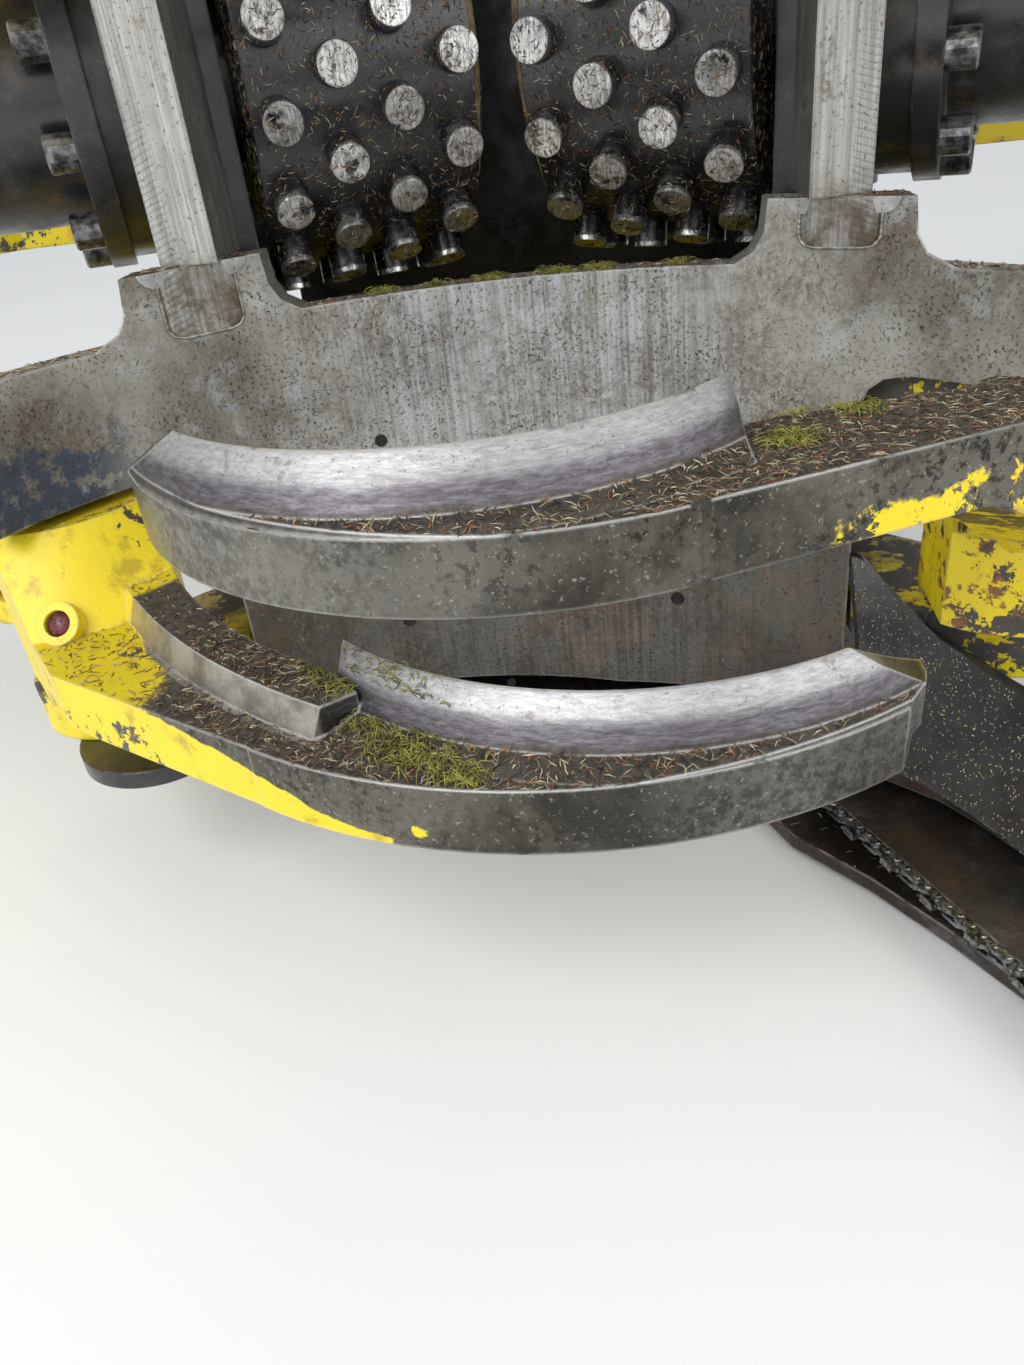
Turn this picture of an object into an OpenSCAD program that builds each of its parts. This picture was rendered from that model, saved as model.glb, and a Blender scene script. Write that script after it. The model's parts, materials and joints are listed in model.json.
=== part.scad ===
// Harvester head: felling, feeding, delimbing and cross-cutting head hung from a crane.
// Shown upright with the delimbing knives closed and the feed arms open.
// x is the width, the trunk lies on the -y side, z is up; the origin is the crane flange.

/* [Head] */
// Height of the crane flange above the saw guard
flange_z = 1330; // [1300:10:1380]
// Distance of the crane flange behind the trunk face
flange_y = 60; // [40:5:80]

/* [Saddle] */
// Radius of the trunk face of the saddles
saddle_r = 395; // [390:1:400]
// Thickness of the saddle plates
saddle_t = 20; // [16:1:22]
// Half angle of the wide lower saddle band
saddle_half_angle = 60; // [58:1:61]
// Top edge of the lower saddle
saddle_top = 400; // [398:1:402]
// Lower edge of the right wing of the lower saddle
saddle_low = 330; // [330:1:334]
// Lower edge of the left wing of the lower saddle
saddle_low_left = 307; // [306:1:310]
// Lowest point of the trough above the saw
trough_low = 47; // [46:1:52]
// Half width of the trough below and above the rollers
trough_half = 237; // [230:1:240]
// Distance of each post from the middle
post_x = 217; // [215:1:219]
// Width of each post
post_w = 40; // [36:1:42]
// Depth of each post
post_depth = 60; // [50:1:60]
// Height of the shoulders above the saddle edge
shoulder_h = 41; // [36:1:44]

/* [Hinge plates] */
// Thickness of the bottom hinge plate of each knife pair
hinge_plate_low_t = 35; // [30:1:36]
// Thickness of the top hinge plate of each knife pair
hinge_plate_top_t = 25; // [22:1:25]
// Distance between the two knife pairs
pair_rise = 570; // [570:1:572]

/* [Knives] */
// Knife hinge distance from the middle
knife_hinge_x = 345; // [344:1:346]
// Knife hinge position across the trunk
knife_hinge_y = -100; // [-101:1:-99]
// Radius of the knife boss
knife_boss_r = 60; // [56:1:62]
// Radius of the knife pin
knife_pin_r = 30; // [26:1:32]
// Clearance of the pins in their bores
pin_clearance = 0.08; // [0.06:0.01:0.1]
// Height of the outer band of a blade
knife_band_h = 40; // [38:1:42]
// Height of the cutting lip above the band
knife_lip_h = 32; // [28:1:33]

/* [Rollers] */
// Radius of the frame roller drum
drum_r = 137; // [134:1:138]
// Height of the studs
stud_h = 18; // [14:1:18]
// Radius of a stud
stud_r = 13.5; // [12:0.5:14]
// Width of a frame roller
roller_w = 162; // [156:1:164]
// Number of stud rows around a roller
stud_rows = 16; // [12:1:16]
// Height of the roller axis
roller_z = 547; // [545:1:549]
// Angle of the frame rollers
roller_tilt = 21; // [20:1:22]
// Radius of the arm roller drum
arm_drum_r = 121; // [116:1:122]
// Width of an arm roller
arm_roller_w = 150; // [140:1:152]

/* [Feed arms] */
// Opening of the feed arms in the shown pose
arm_open = 52; // [50:1:52]

/* [Saw] */
// Length of the saw bar from its pivot
bar_length = 700; // [660:10:720]
// Width of the saw bar
bar_width = 84; // [76:2:88]
// Stowed direction of the saw bar
bar_angle = -66; // [-68:1:-64]

/* [Hanger] */
// Half distance between the cheeks of the hanger
cheek_gap = 196; // [196:1:200]
// Thickness of a cheek
cheek_t = 35; // [30:1:36]

/* [Hidden] */
$fn = 48;
eps = 0.01;
yellow = [0.95, 0.83, 0.06];
steel = [0.55, 0.54, 0.52];
dark = [0.16, 0.16, 0.17];
rubber = [0.08, 0.08, 0.08];
chrome = [0.8, 0.8, 0.82];
hinge_z0 = 125;
boss_z0 = 170;
boss_z1 = 300;
plate_top_z0 = 305;
roller_cx = 6 + (drum_r + stud_h) * sin(roller_tilt) + roller_w / 2 * cos(roller_tilt);
roller_cy = 128;
arm_hinge = [300, 300];
arm_closed_dir = -95;
arm_len = 545;
tilt_y = 380;
tilt_z = 860;
tilt_eye_y = 490;
tilt_eye_z = 910;
tilt_foot_y = 470;
tilt_foot_z = 420;
saw_x = 150;
saw_y = 60;
cyl_foot = [145, 285];
cyl_z = 235;
tail_len = 112;
tail_dir = 150;
knife_tail = [knife_hinge_x - tail_len * cos(tail_dir), knife_hinge_y + tail_len * sin(tail_dir)];
arm_foot = [78, 445];
arm_tail_dir = 33;
arm_tail = [arm_hinge[0] + 120 * cos(arm_tail_dir + arm_open), arm_hinge[1] + 120 * sin(arm_tail_dir + arm_open)];

// Places head coordinates under the crane flange
module place() {
  translate([0, -flange_y, -flange_z])
    children();
}

// Mirrors to the left for side = -1
module on_side(side) {
  if (side > 0) children();
  else mirror([1, 0, 0]) children();
}

// Both sides at once
module both_sides() {
  children();
  mirror([1, 0, 0]) children();
}

// Curved plate round the trunk axis of the saddles
module trough_ring(z0, z1, half) {
  translate([0, -saddle_r, z0])
    rotate([0, 0, 90 - half])
      rotate_extrude(angle = 2 * half, $fn = 96)
        translate([saddle_r, 0])
          square([saddle_t, z1 - z0]);
}

// Front outline of the lower saddle in x and z
module lower_saddle_outline() {
  polygon([
    [-trough_half, trough_low + 25], [-111, trough_low + 22], [60, trough_low], [trough_half, trough_low],
    [trough_half, saddle_low - 22], [trough_half + 3, saddle_low - 12], [trough_half + 11, saddle_low - 4],
    [trough_half + 24, saddle_low], [365, saddle_low], [365, saddle_top],
    [post_x + 62, saddle_top], [post_x + 48, saddle_top + 8], [post_x + 42, saddle_top + 20],
    [post_x + 40, saddle_top + shoulder_h], [post_x - 42, saddle_top + shoulder_h],
    [post_x - 44, saddle_top + 20], [post_x - 50, saddle_top + 8], [post_x - 62, saddle_top],
    [62 - post_x, saddle_top], [50 - post_x, saddle_top + 8], [44 - post_x, saddle_top + 20],
    [42 - post_x, saddle_top + shoulder_h], [-40 - post_x, saddle_top + shoulder_h],
    [-42 - post_x, saddle_top + 20], [-48 - post_x, saddle_top + 8], [-62 - post_x, saddle_top],
    [-365, saddle_top], [-365, saddle_low_left], [-trough_half - 24, saddle_low_left],
    [-trough_half - 11, saddle_low_left - 4], [-trough_half - 3, saddle_low_left - 12],
    [-trough_half, saddle_low_left - 22]
  ]);
}

// Front outline of the upper saddle in x and z
module upper_saddle_outline() {
  low = 2 * roller_z - saddle_top;
  polygon([
    [-trough_half, 1060], [trough_half, 1060], [trough_half, low + 2], [post_x + 60, low + 2],
    [post_x + 48, low - 8], [post_x + 42, low - 20],
    [post_x + 40, low - shoulder_h], [post_x - 42, low - shoulder_h],
    [post_x - 44, low - 20], [post_x - 50, low - 8], [post_x - 62, low],
    [62 - post_x, low], [50 - post_x, low - 8], [44 - post_x, low - 20],
    [42 - post_x, low - shoulder_h], [-40 - post_x, low - shoulder_h],
    [-42 - post_x, low - 20], [-48 - post_x, low - 8], [-60 - post_x, low + 2], [-trough_half, low + 2]
  ]);
}

module lower_saddle() {
  color(steel)
    place()
      intersection() {
        trough_ring(40, 460, saddle_half_angle);
        rotate([90, 0, 0])
          linear_extrude(600, center = true)
            lower_saddle_outline();
      }
}

module upper_saddle() {
  color(steel)
    place()
      intersection() {
        trough_ring(600, 1070, saddle_half_angle);
        rotate([90, 0, 0])
          linear_extrude(600, center = true)
            upper_saddle_outline();
      }
}

module posts() {
  color(steel)
    place()
      for (x = [-post_x, post_x])
        translate([x - post_w / 2, -66, saddle_top + shoulder_h])
          cube([post_w, post_depth, 2 * (roller_z - saddle_top - shoulder_h)]);
}

// Plan of a hinge plate with its two lugs: wide where it carries the roller bay,
// and behind the wings of the saddle where it is tucked
module hinge_plan(wide, tucked) {
  difference() {
    union() {
      if (wide)
        polygon([
          [-240, 362], [-300, 250], [-360, 60], [-402, -80], [-345, -158], [-280, -115], [-200, -60],
          [0, 30], [200, -60], [280, -115], [345, -158], [402, -80], [360, 60], [300, 250], [240, 362]
        ]);
      else
        polygon([
          [-95, 362], [-190, 340], [-190, 250], [-275, 40], [-402, -80], [-345, -158], [-280, -115], [-200, -60],
          [0, 30], [200, -60], [280, -115], [345, -158], [402, -80], [275, 40], [190, 250], [190, 340], [95, 362]
        ]);
      for (x = [-knife_hinge_x, knife_hinge_x])
        translate([x, knife_hinge_y])
          circle(r = 63);
    }
    for (x = [-knife_hinge_x, knife_hinge_x])
      translate([x, knife_hinge_y])
        circle(r = knife_pin_r);
    for (x = [-cyl_foot[0], cyl_foot[0]])
      translate([x, cyl_foot[1]])
        circle(r = 20);
    intersection() {
      translate([0, -saddle_r])
        circle(r = saddle_r + saddle_t + 0.3, $fn = 96);
      if (tucked)
        translate([-400, -300])
          square([800, 400]);
      else
        translate([-trough_half - 4, -300])
          square([2 * trough_half + 8, 400]);
    }
  }
}

module hinge_pair(lift, wide_top) {
  translate([0, 0, hinge_z0 + lift])
    linear_extrude(hinge_plate_low_t)
      hinge_plan(!wide_top, false);
  translate([0, 0, plate_top_z0 + lift])
    linear_extrude(hinge_plate_top_t)
      hinge_plan(wide_top, wide_top);
  translate([-80, 22, hinge_z0 + lift + hinge_plate_low_t])
    cube([160, 165, plate_top_z0 - hinge_z0 - hinge_plate_low_t]);
}

module lower_hinge_plates() {
  color(yellow)
    place() {
      hinge_pair(0, true);
      translate([-90, 22, 68])
        cube([180, 300, hinge_z0 - 68]);
    }
}

// Wear plate under the left hinge lug
module hinge_wear_plate() {
  color(dark)
    place()
      translate([0, 0, hinge_z0 - 14.3])
        linear_extrude(14)
          difference() {
            union() {
              translate([-knife_hinge_x, knife_hinge_y])
                circle(r = 50);
              translate([-303, -151])
                circle(r = 59);
            }
            translate([-knife_hinge_x, knife_hinge_y])
              circle(r = knife_pin_r + 5);
          }
}

module upper_hinge_plates() {
  color(yellow)
    place()
      difference() {
        union() {
          hinge_pair(pair_rise + 1, false);
          for (x = [-90, 60])
            translate([x, 200, hinge_z0 + pair_rise + 1 + hinge_plate_low_t])
              cube([30, 260, 145]);
          for (x = [-90, 60])
            translate([x, tilt_y, tilt_z])
              rotate([0, 90, 0])
                cylinder(r = 62, h = 30);
        }
        translate([-200, tilt_y, tilt_z])
          rotate([0, 90, 0])
            cylinder(r = 35 + pin_clearance, h = 400);
        both_sides()
          roller_axis()
            cylinder(r = drum_r + stud_h + 7, h = roller_w + 24, center = true, $fn = 96);
      }
}

module spine() {
  color(dark)
    place() {
      translate([-240, 312, plate_top_z0 + hinge_plate_top_t])
        cube([480, 50, hinge_z0 + pair_rise + 1 - plate_top_z0 - hinge_plate_top_t]);
      for (x = [-arm_foot[0], arm_foot[0]])
        for (z = [roller_z - 45, roller_z + 30])
          difference() {
            union() {
              translate([x - 26, 362, z])
                cube([52, arm_foot[1] - 362, 15]);
              translate([x, arm_foot[1], z])
                cylinder(r = 30, h = 15);
            }
            translate([x, arm_foot[1], z - 1])
              cylinder(r = 14, h = 17);
          }
      for (x = [-62, 47])
        difference() {
          union() {
            translate([x, 362, tilt_foot_z - 40])
              cube([15, tilt_foot_y - 362, 80]);
            translate([x, tilt_foot_y, tilt_foot_z])
              rotate([0, 90, 0])
                cylinder(r = 45, h = 15);
          }
          translate([x - 1, tilt_foot_y, tilt_foot_z])
            rotate([0, 90, 0])
              cylinder(r = 22, h = 17);
        }
    }
}

// One frame roller axis, local z pointing outwards on the right side
module roller_axis() {
  translate([roller_cx, roller_cy, roller_z])
    rotate([0, 0, -roller_tilt])
      rotate([0, 90, 0])
        children();
}

module roller_brackets() {
  color(dark)
    place()
      both_sides()
        difference() {
          union() {
            translate([roller_cx, roller_cy, plate_top_z0 + hinge_plate_top_t])
              rotate([0, 0, -roller_tilt])
                translate([90, -97, 0])
                  cube([22, 232, hinge_z0 + pair_rise + 1 - plate_top_z0 - hinge_plate_top_t]);
            roller_axis()
              translate([0, 0, 100])
                cylinder(r = 88, h = 52);
            roller_axis()
              translate([0, 0, 150])
                cylinder(r = 112, h = 28);
          }
          roller_axis()
            cylinder(r = 60, h = 240);
        }
}

module arm_brackets() {
  color(dark)
    place()
      both_sides()
        difference() {
          union() {
            for (z = [roller_z - 145, roller_z + 127]) {
              translate([240, 266, z])
                cube([60, 68, 18]);
              translate([arm_hinge[0], arm_hinge[1], z])
                cylinder(r = 38, h = 18);
            }
            translate([240, 312, roller_z - 145])
              cube([14, 50, 290]);
          }
          translate([arm_hinge[0], arm_hinge[1], 380])
            cylinder(r = 20, h = 340);
        }
}

module feed_motors() {
  color(dark)
    place()
      both_sides()
        roller_axis() {
          translate([0, 0, 178])
            cylinder(r = 118, h = 18);
          translate([0, 0, 196])
            cylinder(r = 84, h = 110);
          translate([0, 0, roller_w / 2 + 0.3])
            cylinder(r = 60, h = 178 - roller_w / 2 - 0.3);
        }
}

// Drum with rows of round studs, each row shifted by half a step
module stud_roller(r, w, rows, cols) {
  translate([0, 0, -w / 2])
    cylinder(r = r, h = w, $fn = 96);
  for (i = [0 : rows - 1])
    for (j = [0 : cols - 1])
      rotate([0, 0, (i + 0.5 * (j % 2)) * 360 / rows])
        translate([r - 3, 0, (j - (cols - 1) / 2) * (w - 2 * stud_r - 10) / (cols - 1)])
          rotate([0, 90, 0])
            cylinder(r = stud_r, h = stud_h + 3, $fn = 16);
}

module frame_roller(side) {
  color(dark)
    place()
      on_side(side)
        roller_axis()
          stud_roller(drum_r, roller_w, stud_rows, 4);
}

module frame_roller_left() {
  frame_roller(-1);
}

module frame_roller_right() {
  frame_roller(1);
}

// Arm frame of one side, drawn closed and turned open about its hinge
module arm_pose(side) {
  on_side(side)
    translate([arm_hinge[0], arm_hinge[1], 0])
      rotate([0, 0, arm_open])
        translate([-arm_hinge[0], -arm_hinge[1], 0])
          children();
}

module arm_plan() {
  polygon([
    [266, 316], [300, 337], [338, 312], [462, 190], [492, 0], [452, -150], [405, -210],
    [330, -210], [330, -182], [378, -165], [405, -125], [414, 0], [400, 130], [330, 235], [270, 276]
  ]);
}

module feed_arm(side) {
  color(yellow)
    place()
      arm_pose(side)
        difference() {
          union() {
            for (z = [roller_z - 122, roller_z + 100])
              translate([0, 0, z])
                linear_extrude(22)
                  arm_plan();
            translate([arm_hinge[0], arm_hinge[1], roller_z - 122])
              cylinder(r = 36, h = 244);
            translate([180, -206, roller_z - 100])
              cube([262, 20, 200]);
            translate([243, -206, roller_z])
              rotate([90, 0, 0])
                cylinder(r = 60, h = 8.7);
            for (z = [roller_z - 42, roller_z + 26])
              translate([arm_hinge[0], arm_hinge[1], z])
                rotate([0, 0, arm_tail_dir])
                  linear_extrude(16)
                    lug_plan(28, 120, 23, 26);
            for (z = [roller_z - 49, roller_z + 42])
              translate([arm_hinge[0] + 120 * cos(arm_tail_dir), arm_hinge[1] + 120 * sin(arm_tail_dir), z])
                cylinder(r = 16, h = 7);
          }
          translate([arm_hinge[0], arm_hinge[1], 300])
            cylinder(r = 20 + pin_clearance, h = 500);
        }
}

// Hydraulic motor on the inner face of a feed arm
module arm_motor(side) {
  color(dark)
    place()
      arm_pose(side)
        translate([243, -185.7, roller_z])
          rotate([-90, 0, 0]) {
            cylinder(r = 68, h = 14);
            cylinder(r = 52, h = 74);
            cylinder(r = 30, h = 84);
          }
}

module arm_motor_left() {
  arm_motor(-1);
}

module arm_motor_right() {
  arm_motor(1);
}

module feed_arm_left() {
  feed_arm(-1);
}

module feed_arm_right() {
  feed_arm(1);
}

module arm_roller(side) {
  color(dark)
    place()
      arm_pose(side)
        translate([243, -215 - arm_roller_w / 2, roller_z])
          rotate([-90, 0, 0])
            stud_roller(arm_drum_r, arm_roller_w, stud_rows, 4);
}

module arm_roller_left() {
  arm_roller(-1);
}

module arm_roller_right() {
  arm_roller(1);
}

// Plan of the lower saw guard, ending in the horn beside the bar
module saw_floor_plan() {
  polygon([
    [-240, 5], [-200, -2], [-60, 22], [60, 22], [110, 10], [150, -120], [180, -188],
    [226, -241], [264, -295], [294, -344], [430, -600], [500, -620], [540, -560], [330, 40], [240, 330],
    [-200, 330], [-240, 250]
  ]);
}

// Plan of the upper saw guard, cut back so that the mouth shows the chain
module saw_roof_plan() {
  difference() {
    polygon([
      [-240, 5], [-200, -2], [-60, 22], [60, 22], [150, 10], [206, -158], [224, -168], [246, -183],
      [277, -212], [296, -241], [312, -271], [330, -310], [440, -560], [505, -590], [540, -560],
      [330, 40], [240, 330], [-200, 330], [-240, 250]
    ]);
    intersection() {
      translate([0, -saddle_r])
        circle(r = saddle_r + saddle_t + 0.3, $fn = 96);
      translate([0, -100])
        square([trough_half + 0.3, 130]);
    }
  }
}

module saw_box() {
  color(steel)
    place() {
      linear_extrude(12)
        saw_floor_plan();
      translate([0, 0, 56])
        linear_extrude(12)
          saw_roof_plan();
      translate([0, 0, 12])
        linear_extrude(44)
          difference() {
            polygon([
              [500, -620], [540, -560], [330, 40], [240, 330], [-200, 330], [-240, 250], [-240, 120],
              [-228, 120], [-228, 245], [-195, 318], [230, 318], [318, 36], [526, -560], [494, -606]
            ]);
          }
    }
}

// Flared guard that carries the trunk face out over the saw mouth
module saw_guard() {
  color(steel)
    place()
      intersection() {
        translate([0, -saddle_r, 0])
          rotate([0, 0, 15])
            rotate_extrude(angle = 45, $fn = 96)
              polygon([[324, 68.3], [340, 68.3], [404, 192], [395, 192]]);
        rotate([90, 0, 0])
          linear_extrude(700, center = true)
            polygon([
              [trough_half + 0.4, 60], [trough_half + 0.4, 191], [246, 190], [259, 176], [272, 164],
              [285, 155], [301, 149], [321, 144], [348, 141], [348, 60]
            ]);
      }
}

module saw_motor() {
  color(dark)
    place()
      translate([saw_x, saw_y, 68])
        cylinder(r = 50, h = 54);
}

module bar_pose() {
  translate([saw_x, saw_y, 0])
    rotate([0, 0, bar_angle])
      children();
}

module saw_bar() {
  color(steel)
    place()
      bar_pose() {
        translate([0, 0, 31])
          linear_extrude(6) {
            translate([0, -bar_width / 2])
              square([bar_length - bar_width / 2, bar_width]);
            translate([bar_length - bar_width / 2, 0])
              circle(r = bar_width / 2);
            circle(r = bar_width / 2);
          }
        translate([0, 0, 37])
          cylinder(r = 36, h = 18.9);
        translate([0, 0, 18])
          cylinder(r = 36, h = 13);
      }
}

module saw_chain() {
  color(dark)
    place()
      bar_pose()
        difference() {
          translate([0, 0, 28])
            linear_extrude(12) {
              translate([0, -bar_width / 2 - 12])
                square([bar_length - bar_width / 2, bar_width + 24]);
              translate([bar_length - bar_width / 2, 0])
                circle(r = bar_width / 2 + 12);
              circle(r = bar_width / 2 + 12);
            }
          translate([0, 0, 20])
            linear_extrude(30) {
              translate([0, -bar_width / 2])
                square([bar_length - bar_width / 2, bar_width]);
              translate([bar_length - bar_width / 2, 0])
                circle(r = bar_width / 2);
              circle(r = bar_width / 2);
            }
        }
}

module top_cover() {
  color(yellow)
    place()
      translate([-140, 26, plate_top_z0 + hinge_plate_top_t + pair_rise + 1])
        cube([280, 224, 140]);
}

module valve_block() {
  color(dark)
    place()
      translate([-75, 225, hinge_z0 + hinge_plate_low_t])
        cube([150, 90, 100]);
}

module top_knife() {
  color(steel)
    place()
      translate([0, -saddle_r, 1060])
        rotate([0, 0, 90 - 34])
          rotate_extrude(angle = 68, $fn = 96)
            polygon([[saddle_r - 6, 50], [saddle_r + saddle_t, 0], [saddle_r, 0], [saddle_r - 10, 46]]);
}

module knife_pins() {
  color(chrome)
    place()
      both_sides()
        for (lift = [0, pair_rise + 1]) {
          translate([knife_hinge_x, knife_hinge_y, hinge_z0 + lift - 4])
            cylinder(r = knife_pin_r, h = 213);
          translate([cyl_foot[0], cyl_foot[1], hinge_z0 + lift - 4])
            cylinder(r = 20, h = 213);
        }
}

module arm_pins() {
  color(chrome)
    place()
      both_sides() {
        translate([arm_hinge[0], arm_hinge[1], roller_z - 150])
          cylinder(r = 20, h = 300);
        translate([arm_foot[0], arm_foot[1], roller_z - 50])
          cylinder(r = 14, h = 100);
      }
}

module tilt_pins() {
  color(chrome)
    place()
      translate([-cheek_gap - cheek_t - 5, tilt_y, tilt_z])
        rotate([0, 90, 0])
          cylinder(r = 35, h = 2 * (cheek_gap + cheek_t + 5));
}

// Two lugs on the cross tube of the hanger, with the caps of the cylinder's pin
module tilt_lugs() {
  color(yellow)
    place()
      for (side = [-1, 1])
        translate([side < 0 ? -45 : 27, 0, 0]) {
          rotate([90, 0, 90])
            linear_extrude(18)
              difference() {
                union() {
                  polygon([
                    [tilt_eye_y - 31, tilt_eye_z + 8], [tilt_eye_y + 31, tilt_eye_z - 8],
                    [tilt_eye_y + 66, tilt_eye_z + 75], [tilt_eye_y + 66, tilt_eye_z + 104],
                    [tilt_eye_y + 48, tilt_eye_z + 122], [tilt_eye_y + 12, tilt_eye_z + 122],
                    [tilt_eye_y - 6, tilt_eye_z + 104]
                  ]);
                  translate([tilt_eye_y, tilt_eye_z])
                    circle(r = 32);
                }
                translate([tilt_eye_y + 30, tilt_eye_z + 85])
                  circle(r = 25.05);
              }
          translate([side < 0 ? -8 : 18, tilt_eye_y, tilt_eye_z])
            rotate([0, 90, 0])
              cylinder(r = 22, h = 8);
        }
}

module hanger() {
  color(yellow)
    place()
      difference() {
        union() {
          for (x = [-cheek_gap - cheek_t, cheek_gap])
            translate([x, 0, 0])
              rotate([90, 0, 90])
                linear_extrude(cheek_t)
                  union() {
                    polygon([
                      [tilt_y - 74, tilt_z], [tilt_y - 60, tilt_z - 45], [tilt_y, tilt_z - 75], [tilt_y + 60, tilt_z - 45],
                      [tilt_eye_y + 30, tilt_eye_z + 30], [tilt_eye_y + 62, tilt_eye_z + 90], [tilt_eye_y + 10, tilt_eye_z + 130],
                      [flange_y + 110, 1300], [flange_y - 110, 1300],
                      [flange_y - 110, 1230], [flange_y + 60, 1180]
                    ]);
                  }
          translate([-cheek_gap - cheek_t, flange_y - 110, 1230])
            cube([2 * (cheek_gap + cheek_t), 220, 70]);
          translate([0, flange_y, 1300])
            cylinder(r = 150, h = flange_z - 1300);
          translate([-cheek_gap, tilt_eye_y + 30, tilt_eye_z + 85])
            rotate([0, 90, 0])
              cylinder(r = 25, h = 2 * cheek_gap);
        }
        translate([-cheek_gap - cheek_t - 10, tilt_y, tilt_z])
          rotate([0, 90, 0])
            cylinder(r = 35, h = 2 * (cheek_gap + cheek_t + 10));
        for (i = [0 : 11])
          translate([125 * cos(i * 30), flange_y + 125 * sin(i * 30), 1295])
            cylinder(r = 9, h = 60);
      }
}

// Plan of the low knife, drawn on the left
module low_blade_plan() {
  difference() {
    union() {
      intersection() {
        translate([25, -95])
          circle(r = 315, $fn = 96);
        polygon([
          [-150, -100], [-150, -420], [174, -420], [177, -372.5], [196, -361], [208, -346], [214, -328], [214, -100]
        ]);
      }
      polygon([
        [-120, -340], [-150, -356.1], [-301, -262], [-326, -228], [-402, -122], [-345, -62], [-290, -70], [-200, -150],
        [-120, -200]
      ]);
    }
    intersection() {
      translate([110, 31])
        circle(r = 406, $fn = 96);
      translate([-400, -420])
        square([299, 500]);
    }
    translate([63, -154])
      circle(r = 220, $fn = 96);
    translate([-101.5, -154])
      square([400, 100]);
  }
}

// Plan of the high knife, drawn on the left
module high_blade_plan() {
  difference() {
    union() {
      intersection() {
        translate([0, -150])
          circle(r = 239.5, $fn = 96);
        translate([-91, -420])
          square([305, 330]);
      }
      polygon([
        [-90, -371], [-253, -305], [-296, -286], [-340, -240], [-402, -122], [-345, -62], [-287, -85],
        [-279, -196], [-252, -242], [-139, -264], [-90, -290]
      ]);
    }
    translate([31, -173])
      circle(r = 183, $fn = 96);
    translate([-113, -173])
      square([400, 100]);
  }
}

// Section of the casting by its distance from the hinge, turned about the hinge
module knife_heights(low) {
  translate([-knife_hinge_x, knife_hinge_y, 0])
    rotate_extrude($fn = 96)
      polygon(low
        ? [[0, 170], [84, 170], [112, 200], [600, 200], [600, 200 + knife_band_h], [118, 200 + knife_band_h],
           [72, 300], [0, 300]]
        : [[0, 170], [84, 170], [84, 240], [235, 325], [600, 325], [600, 325 + knife_band_h],
           [150, 325 + knife_band_h], [103, 324], [72, 300], [0, 300]]);
}

// Cutting lip along the inner edge, from its end over the platform to the tip
module knife_lip(centre, radius, base, start, tip) {
  top = base + knife_band_h + knife_lip_h;
  difference() {
    intersection() {
      translate([centre[0], centre[1], 0])
        rotate_extrude($fn = 96)
          polygon([
            [radius + 0.5, base + 20], [radius + 0.5, top], [radius + 11, top - 11], [radius + 19, base + knife_band_h + 6],
            [radius + 40, base + knife_band_h - 2], [radius + 40, base + 20]
          ]);
      translate([0, 0, base])
        linear_extrude(100)
          children();
    }
    rotate([90, 0, 0])
      linear_extrude(900, center = true)
        polygon([
          [tip - 50, top + 1], [tip + 0.5, base + knife_band_h + 0.5], [tip + 40, base + knife_band_h + 0.5],
          [tip + 40, top + 40], [tip - 50, top + 40]
        ]);
    rotate([90, 0, 0])
      linear_extrude(900, center = true)
        polygon([
          [start - 60, base], [start - 14, base], [start, top + 1], [start, top + 40], [start - 60, top + 40]
        ]);
  }
}

// Raised platform with a chamfer beside the outer ledge of the low knife
module knife_platform() {
  intersection() {
    difference() {
      translate([170, 95, 230])
        cylinder(r1 = 535, r2 = 524, h = 28, $fn = 96);
      translate([110, 31, 220])
        cylinder(r = 406.5, h = 60, $fn = 96);
    }
    translate([0, 0, 225])
      linear_extrude(50)
        polygon([
          [-342, -110], [-342, -420], [-114, -420], [-114, -353], [-90, -336], [-117, -306], [-210, -150], [-270, -100]
        ]);
  }
}

// Grease boss on the slope above a knife hinge
module grease_boss(at) {
  translate(at)
    rotate([52, 0, 0]) {
      difference() {
        translate([0, 0, -30])
          cylinder(r = 15, h = 38);
        translate([0, 0, 0])
          cylinder(r = 9, h = 12);
      }
    }
}

// Plan of a lug with a round end
module lug_plan(start, length, half, end_r) {
  translate([start, -half])
    square([length - start, 2 * half]);
  translate([length, 0])
    circle(r = end_r);
}

// Knife of one side, the low one running under the other
module knife_shape(low) {
  difference() {
    union() {
      translate([-knife_hinge_x, knife_hinge_y, boss_z0])
        cylinder(r = knife_boss_r, h = boss_z1 - boss_z0);
      intersection() {
        translate([0, 0, 160])
          linear_extrude(260)
            if (low) low_blade_plan();
            else high_blade_plan();
        knife_heights(low);
      }
      if (low) {
        knife_lip([63, -154], 220, 200, -101, 214)
          intersection() {
            translate([25, -95])
              circle(r = 314.5, $fn = 96);
            polygon([
              [-130, -200], [-130, -420], [173.5, -420], [176.5, -372], [195.5, -360.5], [207.5, -345.5],
              [213.5, -328], [213.5, -200]
            ]);
          }
        knife_platform();
        grease_boss([-314, -207, 247]);
      } else {
        knife_lip([31, -173], 183, 325, -115, 214)
          intersection() {
            translate([0, -150])
              circle(r = 239, $fn = 96);
            translate([-140, -420])
              square([353.5, 220]);
          }
        grease_boss([-318, -172, 246]);
      }
      for (z = [cyl_z - 46, cyl_z + 26])
        translate([-knife_hinge_x, knife_hinge_y, z])
          rotate([0, 0, tail_dir])
            linear_extrude(20)
              lug_plan(40, tail_len, 26, 30);
      for (z = [cyl_z - 54, cyl_z + 46])
        translate([-knife_tail[0], knife_tail[1], z])
          cylinder(r = 20, h = 8);
    }
    translate([-knife_hinge_x, knife_hinge_y, 100])
      cylinder(r = knife_pin_r + pin_clearance, h = 300);
  }
}

module lower_knife_left() {
  color(steel)
    place()
      knife_shape(true);
}

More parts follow.
